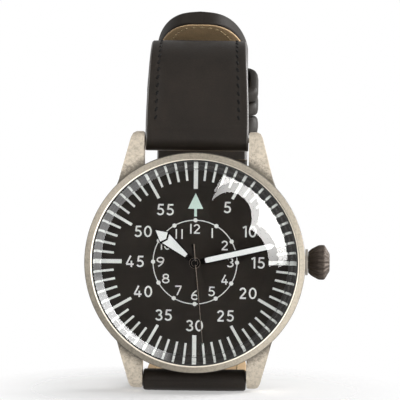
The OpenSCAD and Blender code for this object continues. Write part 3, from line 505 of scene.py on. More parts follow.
# Dial print
dialTop = 7.0
printSizes = {"sink": 0.02, "numeralHigh": 0.02, "ringHigh": 0.016, "dotHigh": 0.024, "arrowHigh": 0.03,
              "ring": 7.95, "ringHalf": 0.085, "dot": 0.4, "minuteIn": 15.5, "fiveIn": 13.9,
              "flatEnd": 17.98, "slopeStart": 18.12, "slopeEnd": 19.12, "markHigh": 0.03,
              "quarterHalf": 0.39, "fiveHalf": 0.27, "minuteHalf": 0.21,
              "chapterStart": 18.05, "chapterWide": 1.1, "chapterRise": 1.45, "chapterFoot": 0.25}


# Prisms over flat outlines (count, corners, 2) between heights that are numbers or (count, corners)
def prisms(outlines, low, high):
    count, corners = outlines.shape[:2]
    low, high = (np.broadcast_to(level, (count, corners))[..., None] for level in (low, high))
    points = np.concatenate([np.concatenate([outlines, low], -1), np.concatenate([outlines, high], -1)], 1)
    first = np.arange(count)[:, None, None] * corners * 2
    i = np.arange(corners)
    sides = np.stack([i, (i + 1) % corners, (i + 1) % corners + corners, i + corners], -1)[None] + first
    ends = np.arange(count * 2 * corners).reshape(-1, corners)
    return points.reshape(-1, 3), sides.reshape(-1, 4).tolist() + ends.tolist()


# Ribbon along a flat path: its two sides are the path plus and minus its normal * half
def ribbon(path, half, closed, high):
    low, high = dialTop - printSizes["sink"], dialTop + high
    if closed:
        slope = np.roll(path, -1, 0) - np.roll(path, 1, 0)
    else:
        slope = np.gradient(path, axis=0)
    slope = unitRows(slope)
    normal = np.stack([-slope[:, 1], slope[:, 0]], 1) * half
    corners = [(path + normal, high), (path - normal, high), (path - normal, low), (path + normal, low)]
    rings = np.stack([np.column_stack([xy, np.full(len(xy), z)]) for xy, z in corners], 1)
    faces = gridFaces(len(path), 4, True, True).tolist() if closed else cappedGrid(len(path), 4)
    return rings.reshape(-1, 3), faces


def joinParts(parts):
    points, faces, start = [], [], 0
    for p, f in parts:
        points.append(p)
        faces += [[i + start for i in face] for face in f]
        start += len(p)
    return np.concatenate(points), faces


def printPiece(name, parts, material):
    points, faces = joinParts(parts)
    meshPiece(name, fromHead(points), faces, "case", "lume_white", material)


def bow(cx, cy, rx, ry, a0, a1, count=18):  # elliptic arc from angle a0 to a1 in degrees
    t = np.radians(np.linspace(a0, a1, count))
    return np.stack([cx + rx * np.cos(t), cy + ry * np.sin(t)], 1)


def curve(p0, p1, p2, count=14):  # quadratic curve through its pull point
    t = np.linspace(0, 1, count)[:, None]
    return (1 - t) ** 2 * np.array(p0) + 2 * t * (1 - t) * np.array(p1) + t * t * np.array(p2)


def opened(*paths):
    return [(np.array(path, float), False) for path in paths]


def loop(cy, rx, ry, cx=0.3):
    return [(bow(cx, cy, rx, ry, 0, 350, 30), True)]


# Strokes of each numeral in a box of height 1, as (path, closed), and how far it is stretched sideways
numerals = {
    "0": ([(bow(0.3, 0.5, 0.23, 0.43, 0, 354, 36), True)], 1.18),
    "1": (opened([(0.3, 0.0), (0.3, 1.0)], [(0.31, 0.97), (0.04, 0.82)]), 1.0),
    "I": (opened([(0.07, 0.0), (0.07, 1.0)]), 1.0),
    "2": (opened(np.concatenate([bow(0.3, 0.7, 0.215, 0.23, 168, -28), [(0.1, 0.1)]]),
                 [(0.05, 0.07), (0.57, 0.07)]), 1.06),
    "3": (opened(bow(0.29, 0.725, 0.19, 0.205, 160, -92), bow(0.29, 0.29, 0.225, 0.22, 92, -158)), 1.18),
    "4": (opened([(0.45, 1.0), (0.05, 0.25)], [(0.03, 0.25), (0.72, 0.25)], [(0.51, 0.55), (0.51, 0.0)]),
          0.96),
    "5": (opened([(0.13, 0.93), (0.55, 0.93)], [(0.175, 0.95), (0.125, 0.5)],
                 bow(0.28, 0.325, 0.245, 0.255, 130, -152, 22)), 1.1),
    "6": (loop(0.3, 0.23, 0.23) + opened(curve((0.45, 0.98), (0.1, 0.72), (0.075, 0.32))), 1.2),
    "7": (opened([(0.03, 0.93), (0.6, 0.93)], [(0.56, 0.9), (0.2, 0.0)]), 1.02),
    "8": (loop(0.735, 0.18, 0.195, 0.29) + loop(0.29, 0.22, 0.22, 0.29), 1.3),
    "9": (loop(0.7, 0.23, 0.23) + opened(curve((0.525, 0.68), (0.5, 0.28), (0.15, 0.02))), 1.28),
}


# Upright numerals about a centre, in mm, set side by side by the width of their strokes
def numeralParts(text, centre, height, stroke, gap, wide=1.0):
    shapes = []
    for c in text:
        paths, own = numerals[c]
        stretch = own * (1 if c in "4I" else wide) * height
        strokes = [(path * np.array([stretch, height]), closed) for path, closed in paths]
        across = np.concatenate([path[:, 0] for path, closed in strokes])
        shapes.append((strokes, across.min() - stroke / 2, across.max() + stroke / 2))
    total = sum(right - left for strokes, left, right in shapes) + gap * (len(text) - 1)
    x, parts = -total / 2, []
    for strokes, left, right in shapes:
        for path, closed in strokes:
            placed = path + np.array([x - left, -0.5 * height]) + np.array(centre)
            parts.append(ribbon(placed, stroke / 2, closed, printSizes["numeralHigh"]))
        x += right - left + gap
    return parts


def turned(x, y, a):  # clockwise about the hands' axis, a in radians
    return [x * np.cos(a) + y * np.sin(a), y * np.cos(a) - x * np.sin(a)]


def polar(r, degrees):
    return r * math.sin(math.radians(degrees)), r * math.cos(math.radians(degrees))


minuteReach = {5: 12.05, 10: 11.8, 15: 11.9, 20: 11.6, 25: 11.72, 30: 12.08, 35: 11.7, 40: 11.39,
               45: 11.43, 50: 11.43, 55: 11.42}
hourWords = {"I2": 6.3, "I": 6.39, "2": 6.44, "3": 6.66, "4": 6.52, "5": 6.38, "6": 6.3, "7": 6.24,
             "8": 6.37, "9": 6.56, "I0": 6.4, "II": 6.12}
digits = []
for five, reach in minuteReach.items():
    digits += numeralParts(str(five), polar(reach, five * 6), 2.15, 0.305, 0.37)
for hour, (word, reach) in enumerate(hourWords.items()):
    digits += numeralParts(word, polar(reach, hour * 30), 1.84, 0.25, 0.84 if word == "II" else 0.32, 1.12)
printPiece("dial_numerals", digits, printWhite)


# Thin circle inside the numerals, with a round dot at each hour
def hourCircle():
    c = printSizes
    dotShape = bow(0, 0, c["dot"], c["dot"], 0, 345, 24)
    dots = np.stack([dotShape + np.array(polar(c["ring"], k * 30)) for k in range(12)])
    return [ribbon(bow(0, 0, c["ring"], c["ring"], 0, 357.5, 144), c["ringHalf"], True, c["ringHigh"]),
            prisms(dots, dialTop - c["sink"], dialTop + c["dotHigh"])]


# Minute marks: bars turned round the axis, whose outer ends climb the sloping chapter ring
def minuteMarks():
    c = printSizes
    minutes = np.arange(60)
    five = minutes % 5 == 0
    half = np.where(minutes % 15 == 0, c["quarterHalf"], np.where(five, c["fiveHalf"], c["minuteHalf"]))
    inner = np.where(five, c["fiveIn"], c["minuteIn"])
    a = np.radians(minutes * 6.0)[:, None]
    parts = []
    for start, stop, climb in ((inner, c["flatEnd"], 0), (c["slopeStart"], c["slopeEnd"], 1)):
        start, stop = start + 0 * half, stop + 0 * half
        x, y = np.stack([-half, half, half, -half], 1), np.stack([start, start, stop, stop], 1)
        outline = np.stack(turned(x, y, a), -1)
        slope = climb * ((y - c["chapterStart"]) * c["chapterRise"] / c["chapterWide"] + c["chapterFoot"])
        parts.append(prisms(outline, dialTop + slope - c["markHigh"], dialTop + slope + c["markHigh"]))
    return parts


arrow = np.array([[(0, 13.08), (-1.43, 10.12), (-0.25, 10.12), (-0.25, 8.66), (0.25, 8.66), (0.25, 10.12),
                   (1.43, 10.12)]])
printPiece("hour_circle", hourCircle(), printWhite)
printPiece("minute_marks", minuteMarks(), printWhite)
printPiece("twelve_arrow", [prisms(arrow, dialTop - printSizes["sink"], dialTop + printSizes["arrowHigh"])],
           printMint)
print("dial print done")

# Seconds hand
secondSizes = {"angle": 174.0, "tail": -3.6, "length": 15.5, "bow": 0.09, "sink": 0.2, "rise": 0.06}
handLow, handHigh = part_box("second_hand")
handFoot, handTop = -handHigh[1] / mm, -handLow[1] / mm


# Blade with a section bowed like a lens, height = top - bow * across^2, and a taper along its length
def bladeSurface():
    c = secondSizes
    reach = np.concatenate([np.linspace(c["tail"], -0.9, 8), np.linspace(-0.7, c["length"], 40)])
    half = np.interp(reach, [c["tail"], -0.9, 0, c["length"]], [0.28, 0.22, 0.2, 0.09])
    u = np.linspace(-1, 1, 9)
    ringU = np.concatenate([u, [1, -1]])
    ringH = np.concatenate([handTop + c["rise"] - c["bow"] * u ** 2, np.full(2, handTop - c["sink"])])
    x, y = half[:, None] * ringU, reach[:, None] + 0 * ringU
    a = math.radians(c["angle"])
    grid = np.stack([*turned(x, y, a), ringH + 0 * x], -1)
    marks = [1, 1] + [0] * (len(ringU) - 2)  # one flank gets the lighter metal: a painted highlight line
    return grid, cappedGrid(len(reach), len(ringU)), marks * (len(reach) - 1) + [0, 0]


# Hub cap: radius and height over the hand's top, two turned rings standing up
hubSteps = [(0.0, 0.05), (0.2, 0.05), (0.42, 0.02), (0.46, -0.03), (0.58, -0.03), (0.62, 0.03), (0.74, 0.03),
            (0.78, -0.04), (0.9, -0.04), (1.0, -0.07), (1.05, -0.12)]
grid, faces, marks = bladeSurface()
meshPiece("seconds_blade", fromHead(grid), faces, "second", "hand_black", [handPaint, flankHighlightMetal], marks, 60,
          node="second_hand")
hubProfile = [(r, handTop + step) for r, step in hubSteps] + [(1.05, handFoot), (0.0, handFoot)]
hubMarks = np.zeros(len(hubProfile), int)
hubMarks[[4, 9]] = 1  # the rings' flanks get the lighter metal: painted highlights where they catch the light
lathe("seconds_hub", hubProfile, "second", "hand_black", [handPaint, flankHighlightMetal], "second_hand", 64, hubMarks)
print("seconds hand done")

# Strap: its side view is given in the frame's y and z, in mm
strapSizes = {"lugWidth": 19.7, "tailWidth": 18.4, "roll": 2.1, "nose": 9.0, "shortThick": 2.6,
              "longThick": 2.7, "loopDepth": 41.6, "slack": 0.3, "edge": 0.5, "groove": 0.13,
              "stitchIn": 1.9, "stitchPitch": 1.62, "tipSlope": 19.0, "tipLength": 19.0, "tipTaper": 22.0}
s = strapSizes
pinTop, pinLow = np.array([-2.4, 23.1]), np.array([-2.4, -23.1])
frontBend, rearBend = np.array([9.0, 32.1]), np.array([27.6, 25.5])
frontR, rearR, lowR = 10.0, 14.0, 18.0
tailR = rearR + s["slack"] + s["longThick"]
tailY = rearBend[0] + tailR
lowBend = np.array([tailY - lowR, pinLow[1] - s["roll"] + lowR])
hinge = np.array([s["loopDepth"] - s["shortThick"] / 2, 15.0])


def unit(degrees):
    return np.array([math.cos(math.radians(degrees)), math.sin(math.radians(degrees))])


def repeated(vector, count):
    return np.repeat(vector[None], count, 0)


def ease(x, low, high):  # smooth step from 0 to 1
    t = np.clip((x - low) / (high - low), 0, 1)
    return t * t * (3 - 2 * t)


def beltNormal(c1, r1, c2, r2):  # outward normal of the straight belt between two wheels, in degrees
    d = c2 - c1
    return math.degrees(math.atan2(d[1], d[0]) + math.asin((r2 - r1) / np.linalg.norm(d))) + 90


# Runs of an outer face seen from the side, each as points and outward normals
def straightRun(a, b, degrees, step=0.35):
    count = max(2, int(np.linalg.norm(b - a) / step))
    t = np.linspace(0, 1, count, endpoint=False)[:, None]
    return a + (b - a) * t, repeated(unit(degrees), count)


def bentRun(c, r, a0, a1, step=0.35):
    count = max(3, int(abs(math.radians(a1 - a0)) * r / step))
    t = np.radians(np.linspace(a0, a1, count, endpoint=False))
    normals = np.stack([np.cos(t), np.sin(t)], 1)
    return c + r * normals, normals


def joinRuns(*runs):
    return [np.concatenate(column) for column in zip(*runs)]


def distanceAlong(points):
    return np.concatenate([[0], np.cumsum(np.linalg.norm(np.diff(points, axis=0), axis=1))])


# Strap seen from the side: outer face, distance along it and thickness. The round end of the roll comes
# before the first point, where the thickness is 2 sqrt(r^2 - t^2); the nose then thins to the strap.
def strapSide(points, normals, pin, thin, steps=10):
    along, r = distanceAlong(points), s["roll"]
    back = -r * np.cos(np.linspace(0, math.pi / 2, steps, endpoint=False))
    half = np.sqrt(np.maximum(r * r - back * back, 0.03))
    extra = pin + unitRows(points[1] - points[0]) * back[:, None] + normals[0] * half[:, None]
    thick = thin + (2 * r - thin) * np.clip(1 - along / s["nose"], 0, 1)
    return {"points": np.concatenate([extra, points]), "along": np.concatenate([back, along]),
            "normals": np.concatenate([repeated(normals[0], steps), normals]),
            "thick": np.concatenate([2 * half, thick]), "thin": thin,
            "lined": ease(np.concatenate([back, along]), s["nose"] - 0.6, s["nose"] + 0.4)}


def strapHalf(along, low, high):  # half width, eased from the lugs' to the tail's
    return s["lugWidth"] / 2 - (s["lugWidth"] - s["tailWidth"]) / 2 * ease(along, low, high)


# Share of the width that is left at a distance from the tip: (1 - (1 - away / taper)^1.6)^(1/3)
def tipShare(away, taper):
    return (1 - np.clip(1 - away / taper, 0, 1) ** 1.6) ** (1 / 3)


def mirrored(stations):
    return [(-across, depth) for across, depth in stations]


# Section carried along a side view: point = outer face - normal * depth, x = across
def sweep(strap, stations):
    u, v = (np.stack(np.broadcast_arrays(*column), -1) for column in zip(*stations))
    yz = strap["points"][:, None, :] - strap["normals"][:, None, :] * v[..., None]
    return np.stack([u, yz[..., 0], yz[..., 1]], -1) * mm


# Leather's section as (across, depth): rounded corners, a channel under each stitch row, and a crowned
# face, whose depth is crown * (across / width)^4
def leatherPiece(name, node, strap, groove, crown, edgeFinish):
    width, thick = strap["half"], strap["thick"] - 0.2 * strap["lined"]
    edge = np.minimum(s["edge"], np.minimum(thick, width) * 0.49)
    crown, groove = np.minimum(crown, thick * 0.2), np.minimum(groove, thick * 0.2)
    turn = np.radians(np.linspace(0, 90, 5))
    upper = [(width - edge * (1 - math.cos(c)), edge * (1 - math.sin(c)) + 0.8 * crown * math.sin(c))
             for c in turn]
    lower = [(width - edge * (1 - math.cos(c)), thick - edge * (1 - math.sin(c))) for c in turn]
    channel = [(np.maximum(width - s["stitchIn"] + offset, 0.02 * width), dip)
               for offset, dip in ((0.55, 0.0), (0.22, 0.6), (0.0, 1.0), (-0.22, 0.6), (-0.55, 0.0))]
    inside = channel[-1][0] * 1.2
    face = [(inside * f, 0.0) for f in (-0.72, -0.5, -0.25, 0.0, 0.25, 0.5, 0.72)]
    face = [(u, groove * dip + crown * (np.abs(u) / np.maximum(width, 1e-6)) ** 4)
            for u, dip in mirrored(channel) + face + channel[::-1]]
    outer = mirrored(upper) + face + upper[::-1]
    back = [(f * (width - edge), thick) for f in np.linspace(0.8, -0.8, 7)]
    stations = outer + lower + back + mirrored(lower)[::-1]
    grid = sweep(strap, stations)
    rows, cols = grid.shape[:2]
    marks = np.zeros((rows - 1, cols), int)
    for sides in (slice(0, 3), slice(len(outer) - 4, len(outer) + 4), slice(cols - 4, cols)):
        marks[:, sides] = 1  # the cut edges are painted
    marks = np.concatenate([marks.reshape(-1), [1, 1]])
    return meshPiece(name, grid, cappedGrid(rows, cols), "case", "strap_leather",
                     [blackLeather, edgeFinish], marks, 45, 2e-6, node)


# Upper piece: from the lug bar over the front bend and the rear bend, down to the buckle
def shortStrap():
    n1 = beltNormal(pinTop, s["roll"], frontBend, frontR)
    n2 = beltNormal(frontBend, frontR, rearBend, rearR)
    rear = np.array([s["loopDepth"], rearBend[1]])
    end = np.array([s["loopDepth"], 17.2])
    points, normals = joinRuns(
        straightRun(pinTop + s["roll"] * unit(n1), frontBend + frontR * unit(n1), n1),
        bentRun(frontBend, frontR, n1, n2),
        straightRun(frontBend + frontR * unit(n2), rearBend + rearR * unit(n2), n2),
        bentRun(rearBend, rearR, n2, 0), straightRun(rear, end, 0))
    strap = strapSide(points, normals, pinTop, s["shortThick"])
    along, points = strap["along"], strap["points"]
    strap["half"] = strapHalf(along, 2.0, along[np.argmax(points[:, 1])])
    crease = 0.16 * np.exp(-((along - 1.8) / 0.4) ** 2)  # where the nose is sewn behind the roll
    strap["points"] = points = points - strap["normals"] * crease[:, None]
    strap["lined"] = strap["lined"] * (1 - ease(points[:, 0], 40.5, 41.5) * (points[:, 1] < 24.3))
    groove = s["groove"] * ease(along, 3.0, 3.7)
    leatherPiece("strap_short_leather", "strap_short", strap, groove, 0.12, edgeGloss)
    return strap


# Lower piece: from the lug bar round the low bend and up the back, over the upper piece to the tip
def longStrap():
    tipNormal = 90 - s["tipSlope"]
    start = rearBend + tailR * unit(tipNormal)
    direction = unit(tipNormal + 90)
    end = start + s["tipLength"] * direction
    under = pinLow + np.array([0, -s["roll"]])
    points, normals = joinRuns(
        straightRun(under, np.array([lowBend[0], under[1]]), -90), bentRun(lowBend, lowR, -90, 0),
        straightRun(np.array([tailY, lowBend[1]]), np.array([tailY, rearBend[1]]), 0),
        bentRun(rearBend, tailR, 0, tipNormal), straightRun(start, end - direction * 0.05, tipNormal))
    keep = distanceAlong(points)[-1] + 0.05 - distanceAlong(points) > 1.2
    close = np.array([1.2, 0.95, 0.7, 0.5, 0.33, 0.2, 0.1, 0.04, 0.01])  # closer steps round the tip
    tip = end - direction * close[:, None], repeated(unit(tipNormal), len(close))
    strap = strapSide(*joinRuns((points[keep], normals[keep]), tip), pinLow, s["longThick"])
    along = strap["along"]
    away = strap["away"] = along[-1] + 0.01 - along
    bottomEnd = along[np.argmax(strap["points"][:, 0] > lowBend[0])]
    strap["wide"] = strapHalf(along, 22.0, bottomEnd + 10.0)
    strap["half"] = strap["wide"] * tipShare(away, s["tipTaper"])
    groove = s["groove"] * ease(along, 5.4, 6.2) * ease(away, 1.0, 3.0)
    strap["leather"] = leatherPiece("strap_long_leather", "strap_long", strap, groove, 0.1, edgePaint)
    return strap


shortPiece = shortStrap()
longPiece = longStrap()
print("strap leather done")


# Lining: thin inset slab on the inner face, its inner corners rounded
def liningPiece(name, node, strap, pick, width, inset=0.15, slab=0.4, edge=0.13):
    half, depth = np.maximum(width - inset, 0.01), strap["thick"][pick]
    corner = [(half - edge * (1 - math.sin(c)), depth - edge * (1 - math.cos(c)))
              for c in np.radians([30, 60, 90])]
    stations = [(f * (half - edge), depth) for f in np.linspace(-1, 1, 11)] + corner
    stations += [(half, depth - slab), (-half, depth - slab)] + mirrored(corner)[::-1]
    grid = sweep({"points": strap["points"][pick], "normals": strap["normals"][pick]}, stations)
    return meshPiece(name, grid, cappedGrid(*grid.shape[:2]), "case", "lining_leather", tanLining, None, 50,
                     2e-6, node)


rear, height = shortPiece["points"].T
pick = (shortPiece["along"] > s["nose"] - 0.2) & ~((rear > 41) & (height < 24.7))
liningPiece("lining_short_tan", "lining_short", shortPiece, pick, shortPiece["half"][pick])
pick = (longPiece["along"] > s["nose"] - 0.2) & (longPiece["away"] > 0.62)
reach = tipShare(longPiece["away"][pick] - 0.6, s["tipTaper"] - 0.6) * longPiece["wide"][pick]
longLining = liningPiece("lining_long_tan", "lining_long", longPiece, pick, np.maximum(reach, 0.9))
print("linings done")

prongSizes = {"notch": 1.7, "outer": 9.2, "top": 17.4, "edge": 0.35}


# End of the short piece: two prongs that hold the buckle's bar, either side of the tongue's notch
def buckleProngs():
    c, r = prongSizes, s["shortThick"] / 2
    drop = r * np.cos(np.linspace(math.pi / 2, 0, 12))[1:]
    z = np.concatenate([[c["top"], hinge[1]], hinge[1] - drop])
    half = np.concatenate([[r, r], np.sqrt(np.maximum(r * r - drop ** 2, 1e-8))])
    e = np.minimum(c["edge"], half * 0.8)
    parts = []
    for side in (-1, 1):
        x0, x1 = sorted((side * c["notch"], side * c["outer"]))
        outline = [(x0, e - half), (x0 + e, -half), (x1 - e, -half), (x1, e - half),
                   (x1, half - e), (x1 - e, half), (x0 + e, half), (x0, half - e)]
        ring = np.stack([np.stack([x + 0 * z, hinge[0] + y, z], 1) for x, y in outline], 1)
        parts.append((ring.reshape(-1, 3), cappedGrid(len(z), len(outline))))
    return joinParts(parts)


points, faces = buckleProngs()
meshPiece("strap_short_prongs", points * mm, faces, "case", "strap_leather", blackLeather,
          node="strap_short")

holeSizes = {"radius": 0.9, "pitch": 6.0, "middle": 13.2, "slotLow": 12.95, "slotHigh": 14.05,
             "before": 4.0, "behind": 1.0}  # how far the cutter reaches past the outer face


# Adjusting holes and the tongue's slot: rods over (x, z) outlines, taken out of leather and lining
def cutHoles(*pieces):
    c = holeSizes
    r = c["radius"]
    outlines = [bow(0, c["middle"] + c["pitch"] * k, r, r, 0, 345, 24) for k in (-3, -2, -1, 1, 2, 3)]
    outlines.append(np.concatenate([bow(0, c["slotHigh"], r, r, 0, 180, 13),
                                    bow(0, c["slotLow"], r, r, 180, 360, 13)]))
    rods = []
    for outline in outlines:
        y = np.repeat([tailY - c["before"], tailY + c["behind"]], len(outline))
        x, z = np.concatenate([outline, outline]).T
        rods.append((np.column_stack([x, y, z]), cappedGrid(2, len(outline))))
    points, faces = joinParts(rods)
    cutter = meshPiece("hole_cutter", points * mm, faces, "case", "strap_leather", edgePaint)
    for piece in pieces:
        cut = piece.modifiers.new("holes", "BOOLEAN")
        cut.operation = "DIFFERENCE"
        cut.solver = "EXACT"
        cut.object = cutter
        done = bpy.data.meshes.new_from_object(piece.evaluated_get(bpy.context.evaluated_depsgraph_get()))
        piece.modifiers.clear()
        old = piece.data
        piece.data = done
        done.name = piece.name
        bpy.data.meshes.remove(old)
    bpy.data.objects.remove(cutter)


cutHoles(longPiece["leather"], longLining)
print("adjusting holes cut:", len(longPiece["leather"].data.polygons))

# Stitches
stitchSizes = {"length": 1.2, "dip": 0.12, "outDepth": 0.16, "outThick": 0.46, "outTurn": 0.42,
               "inLift": 0.02, "inThick": 0.36, "inTurn": 0.15, "tipDepth": 0.1, "tipThick": 0.4,
               "tipTurn": 0.18, "tipReach": 10.4, "tipMiddle": 11.0}


# Row of small spindles half sunk in the leather, each turned a little across the row:
# half thickness = sqrt(1 - t^4), and the ends dip by t^2
def stitchRow(name, centres, normal, thick, turn, finish, points=7, sides=8):
    forward = unitRows(np.gradient(centres, axis=0))
    t = np.linspace(-1, 1, points)
    a = np.linspace(0, 2 * np.pi, sides, endpoint=False)
    body = (np.sqrt(np.maximum(1 - t ** 4, 0)) * thick / 2)[:, None]
    ahead = forward * math.cos(turn) + np.cross(normal, forward) * math.sin(turn)
    across = np.cross(normal, ahead)
    step = (t * stitchSizes["length"] / 2)[None, :, None]
    dip = (stitchSizes["dip"] * t ** 2)[None, :, None]
    spine = centres[:, None, :] + ahead[:, None, :] * step - normal[:, None, :] * dip
    rings = (spine[:, :, None, :] + across[:, None, None, :] * (body * np.cos(a))[None, :, :, None]
             + normal[:, None, None, :] * (body * np.sin(a))[None, :, :, None])
    starts = (np.arange(len(centres)) * points * sides)[:, None, None]
    faces = (gridFaces(points, sides, False, True)[None] + starts).reshape(-1, 4)
    meshPiece(name, rings * mm, faces, "case", "strap_leather", finish, None, 80, 1e-8)


# Centres and normals of a stitch row, at even distances from first to last
def rowPlaces(strap, side, first, last, depth, flip=1.0):
    where = np.arange(first, last, s["stitchPitch"])
    yz, n = (np.stack([np.interp(where, strap["along"], strap[key][:, k]) for k in (0, 1)], 1)
             for key in ("points", "normals"))
    n = unitRows(n)
    x = side * (np.interp(where, strap["along"], strap["half"]) - s["stitchIn"])
    return np.column_stack([x, yz - n * depth]), np.column_stack([0 * x, n]) * flip


def strapStitches(strap, word, first, outLeft, inLeft):
    c = stitchSizes
    end = strap["along"][-1]
    for side, hand in ((-1, "left"), (1, "right")):
        centres, normal = rowPlaces(strap, side, first, end - outLeft, c["outDepth"])
        stitchRow(f"stitches_{word}_{hand}", centres, normal, c["outThick"], c["outTurn"] * side, blackThread)
        depth = strap["thin"] - c["inLift"]
        centres, normal = rowPlaces(strap, side, s["nose"] + 1.5, end - inLeft, depth, -1.0)
        stitchRow(f"stitches_{word}_in_{hand}", centres, normal, c["inThick"], c["inTurn"] * side, paleThread)


# The row round the tail's tip: even steps on the tip's outline moved in by the stitches' inset
def tipRow(name, depth, flip, finish):
    c, strap, inset, half = stitchSizes, longPiece, s["stitchIn"], s["tailWidth"] / 2
    away = np.linspace(0, 12.5, 400)
    reach = half * tipShare(away, s["tipTaper"])
    outline = np.concatenate([np.stack([-reach[::-1], away[::-1]], 1), np.stack([reach, away], 1)[1:]])
    slope = unitRows(np.gradient(outline, axis=0))
    inner = outline - np.stack([slope[:, 1], -slope[:, 0]], 1) * inset
    x, away = inner.T
    inner = inner[(np.abs(x) < half - inset + 0.02) & (away > inset * 0.9) & (away < c["tipReach"])]
    inner = inner[np.argsort(np.arctan2(inner[:, 0], c["tipMiddle"] - inner[:, 1]))]
    run = distanceAlong(inner)
    at = np.arange(0.4, run[-1], s["stitchPitch"])
    x, away = np.interp(at, run, inner[:, 0]), np.interp(at, run, inner[:, 1])
    where = strap["along"][-1] + 0.01 - away
    yz = np.stack([np.interp(where, strap["along"], strap["points"][:, k]) for k in (0, 1)], 1)
    n = repeated(strap["normals"][-1], len(at))
    stitchRow(name, np.column_stack([x, yz - n * depth]), np.column_stack([0 * x, n]) * flip,
              c["tipThick"], c["tipTurn"], finish)


strapStitches(shortPiece, "short", 3.9, 1.0, 9.0)
strapStitches(longPiece, "long", 6.2, 10.5, 10.5)
tipRow("stitches_tip_out", stitchSizes["tipDepth"], 1.0, blackThread)
tipRow("stitches_tip_in", s["longThick"] - stitchSizes["inLift"], -1.0, paleThread)
print("stitching done")

# Keepers: the section is measured from the rear bend's axis, the sliding one lies between two angles
keeperSizes = {"inner": 11.1, "outer": 17.3, "wall": 1.2, "half": 9.5, "side": 1.9, "innerRound": 0.7,
               "outerRound": 2.3, "start": 21.5, "arc": 15.5, "gap": 1.2, "sewn": 3.6, "top": 0.28}
keeperSection = np.array([  # round the band: share from its inner to its outer face, share of its width
    (0.0, 0.5), (0.0, 0.9), (0.06, 0.97), (0.2, 1.0), (0.42, 1.0), (0.62, 0.985), (0.78, 0.94), (0.91, 0.84),
    (0.98, 0.62), (0.98, 0.38), (0.91, 0.16), (0.78, 0.06), (0.62, 0.015), (0.42, 0.0), (0.2, 0.0),
    (0.06, 0.03), (0.0, 0.1), (0.0, 0.3)])


# Rounded rectangle as a closed loop: centre (c, 0), half sizes a and b, corner radius r
def roundRect(c, a, b, r, corner=8, run=8):
    arcs = []
    for k, (sa, sb) in enumerate(((1, 1), (-1, 1), (-1, -1), (1, -1))):
        arcs.append(bow(c + sa * (a - r), sb * (b - r), r, r, 90 * k, 90 * k + 90, corner))
    t = np.linspace(0, 1, run, endpoint=False)[1:, None]
    sides = [here[-1] + (there[0] - here[-1]) * t for here, there in zip(arcs, arcs[1:] + arcs[:1])]
    return np.concatenate([part for pair in zip(arcs, sides) for part in pair])


# Band of leather round the strap: point = inner loop + (outer loop - inner loop) * share, and its level
# runs from low to high, which are angles on the rear bend or heights
def keeperBand(name, node, body, low, high, bent):
    k = keeperSizes
    middle, deep = (k["inner"] + k["outer"]) / 2, (k["outer"] - k["inner"]) / 2
    inner = roundRect(middle, deep, k["half"], k["innerRound"])
    outer = roundRect(middle, deep + k["wall"], k["half"] + k["side"], k["outerRound"])
    share, rise = keeperSection.T
    band = inner[:, None, :] + (outer - inner)[:, None, :] * share[None, :, None]
    level = low + (high - low) * rise[None, :] + 0 * band[..., 0]
    if bent:
        a = np.radians(level)
        y, z = rearBend[0] + band[..., 0] * np.cos(a), rearBend[1] + band[..., 0] * np.sin(a)
    else:
        y, z = rearBend[0] + band[..., 0], level
    grid = np.stack([band[..., 1], y, z], -1) * mm
    meshPiece(name, grid, gridFaces(*grid.shape[:2], True, True), body, "keeper_leather", keeperLeather,
              None, 50, node=node)


k = keeperSizes
middleArc = 2 * math.degrees(math.asin(k["sewn"] / 2 / (rearR + s["slack"])))
middleStart = k["start"] - k["gap"] - middleArc
fixedTop = rearBend[1] + (k["inner"] - k["wall"]) * math.sin(math.radians(middleStart)) - s["slack"]
keeperBand("keeper_sliding_band", "keeper_sliding", "keeper", k["start"], k["start"] + k["arc"], True)
keeperBand("keeper_middle_band", "keeper_middle", "case", middleStart, middleStart + middleArc, True)
keeperBand("keeper_fixed_band", "keeper_fixed", "case", fixedTop - k["sewn"], fixedTop + k["top"], False)
print("keepers done")

# Studio; the focal length and the dial's place are in pixels of a picture 400 wide
studio = {"distance": 0.6, "azimuth": 1.5, "elevation": 4.4, "roll": 0.6, "focal": 3146.0,
          "dialAt": (195.1, 261.95), "pictureSize": 400, "floor": -0.0252, "floorHalf": 2.0,
          "fade": (0.014, 0.05), "fill": (0.16, 0.5), "boxFront": -1.0, "boxMiddle": (0.27, -1.0, 0.15),
          "boxFall": (0.12, 0.27), "boxLevels": (9.0, 2.97), "cardFront": -0.99}


# The dial's centre lands on its pixel: look at it, roll, then turn by the angle of its offset
def makeCamera():
    az, el = math.radians(studio["azimuth"]), math.radians(studio["elevation"])
    back = Vector((math.sin(az) * math.cos(el), -math.cos(az) * math.cos(el), math.sin(el)))
    data = bpy.data.cameras.new("camera")
    data.sensor_width = 36
    data.lens = data.sensor_width * studio["focal"] / studio["pictureSize"]
    data.clip_start, data.clip_end = 0.05, 20
    camera = addObject("camera", data)
    camera.location = Vector((0, -dialTop * mm, 0)) + back * studio["distance"]
    look = (-back).to_track_quat("-Z", "Y")
    roll = Quaternion((0, 0, 1), math.radians(studio["roll"]))
    middle = studio["pictureSize"] / 2
    u, v = (studio["dialAt"][0] - middle) / studio["focal"], (middle - studio["dialAt"][1]) / studio["focal"]
    turn = Vector((u, v, -1)).normalized().rotation_difference(Vector((0, 0, -1)))
    camera.rotation_mode = "QUATERNION"
    camera.rotation_quaternion = look @ roll @ turn
    bpy.context.scene.camera = camera


# Flat polygon of the studio; seen says whether the camera and glossy rays meet it
def stageSheet(name, corners, seen, grey, specular=0.0):
    mesh = bpy.data.meshes.new(name)
    mesh.from_pydata(corners, [], [list(range(len(corners)))])
    sheet = addObject(name, mesh)
    sheet.visible_camera, sheet.visible_glossy = seen
    material, tree = startMaterial(name, Roughness=0.9, Base_Color=(grey,) * 3,
                                   Specular_IOR_Level=specular)
    mesh.materials.append(material)
    return tree


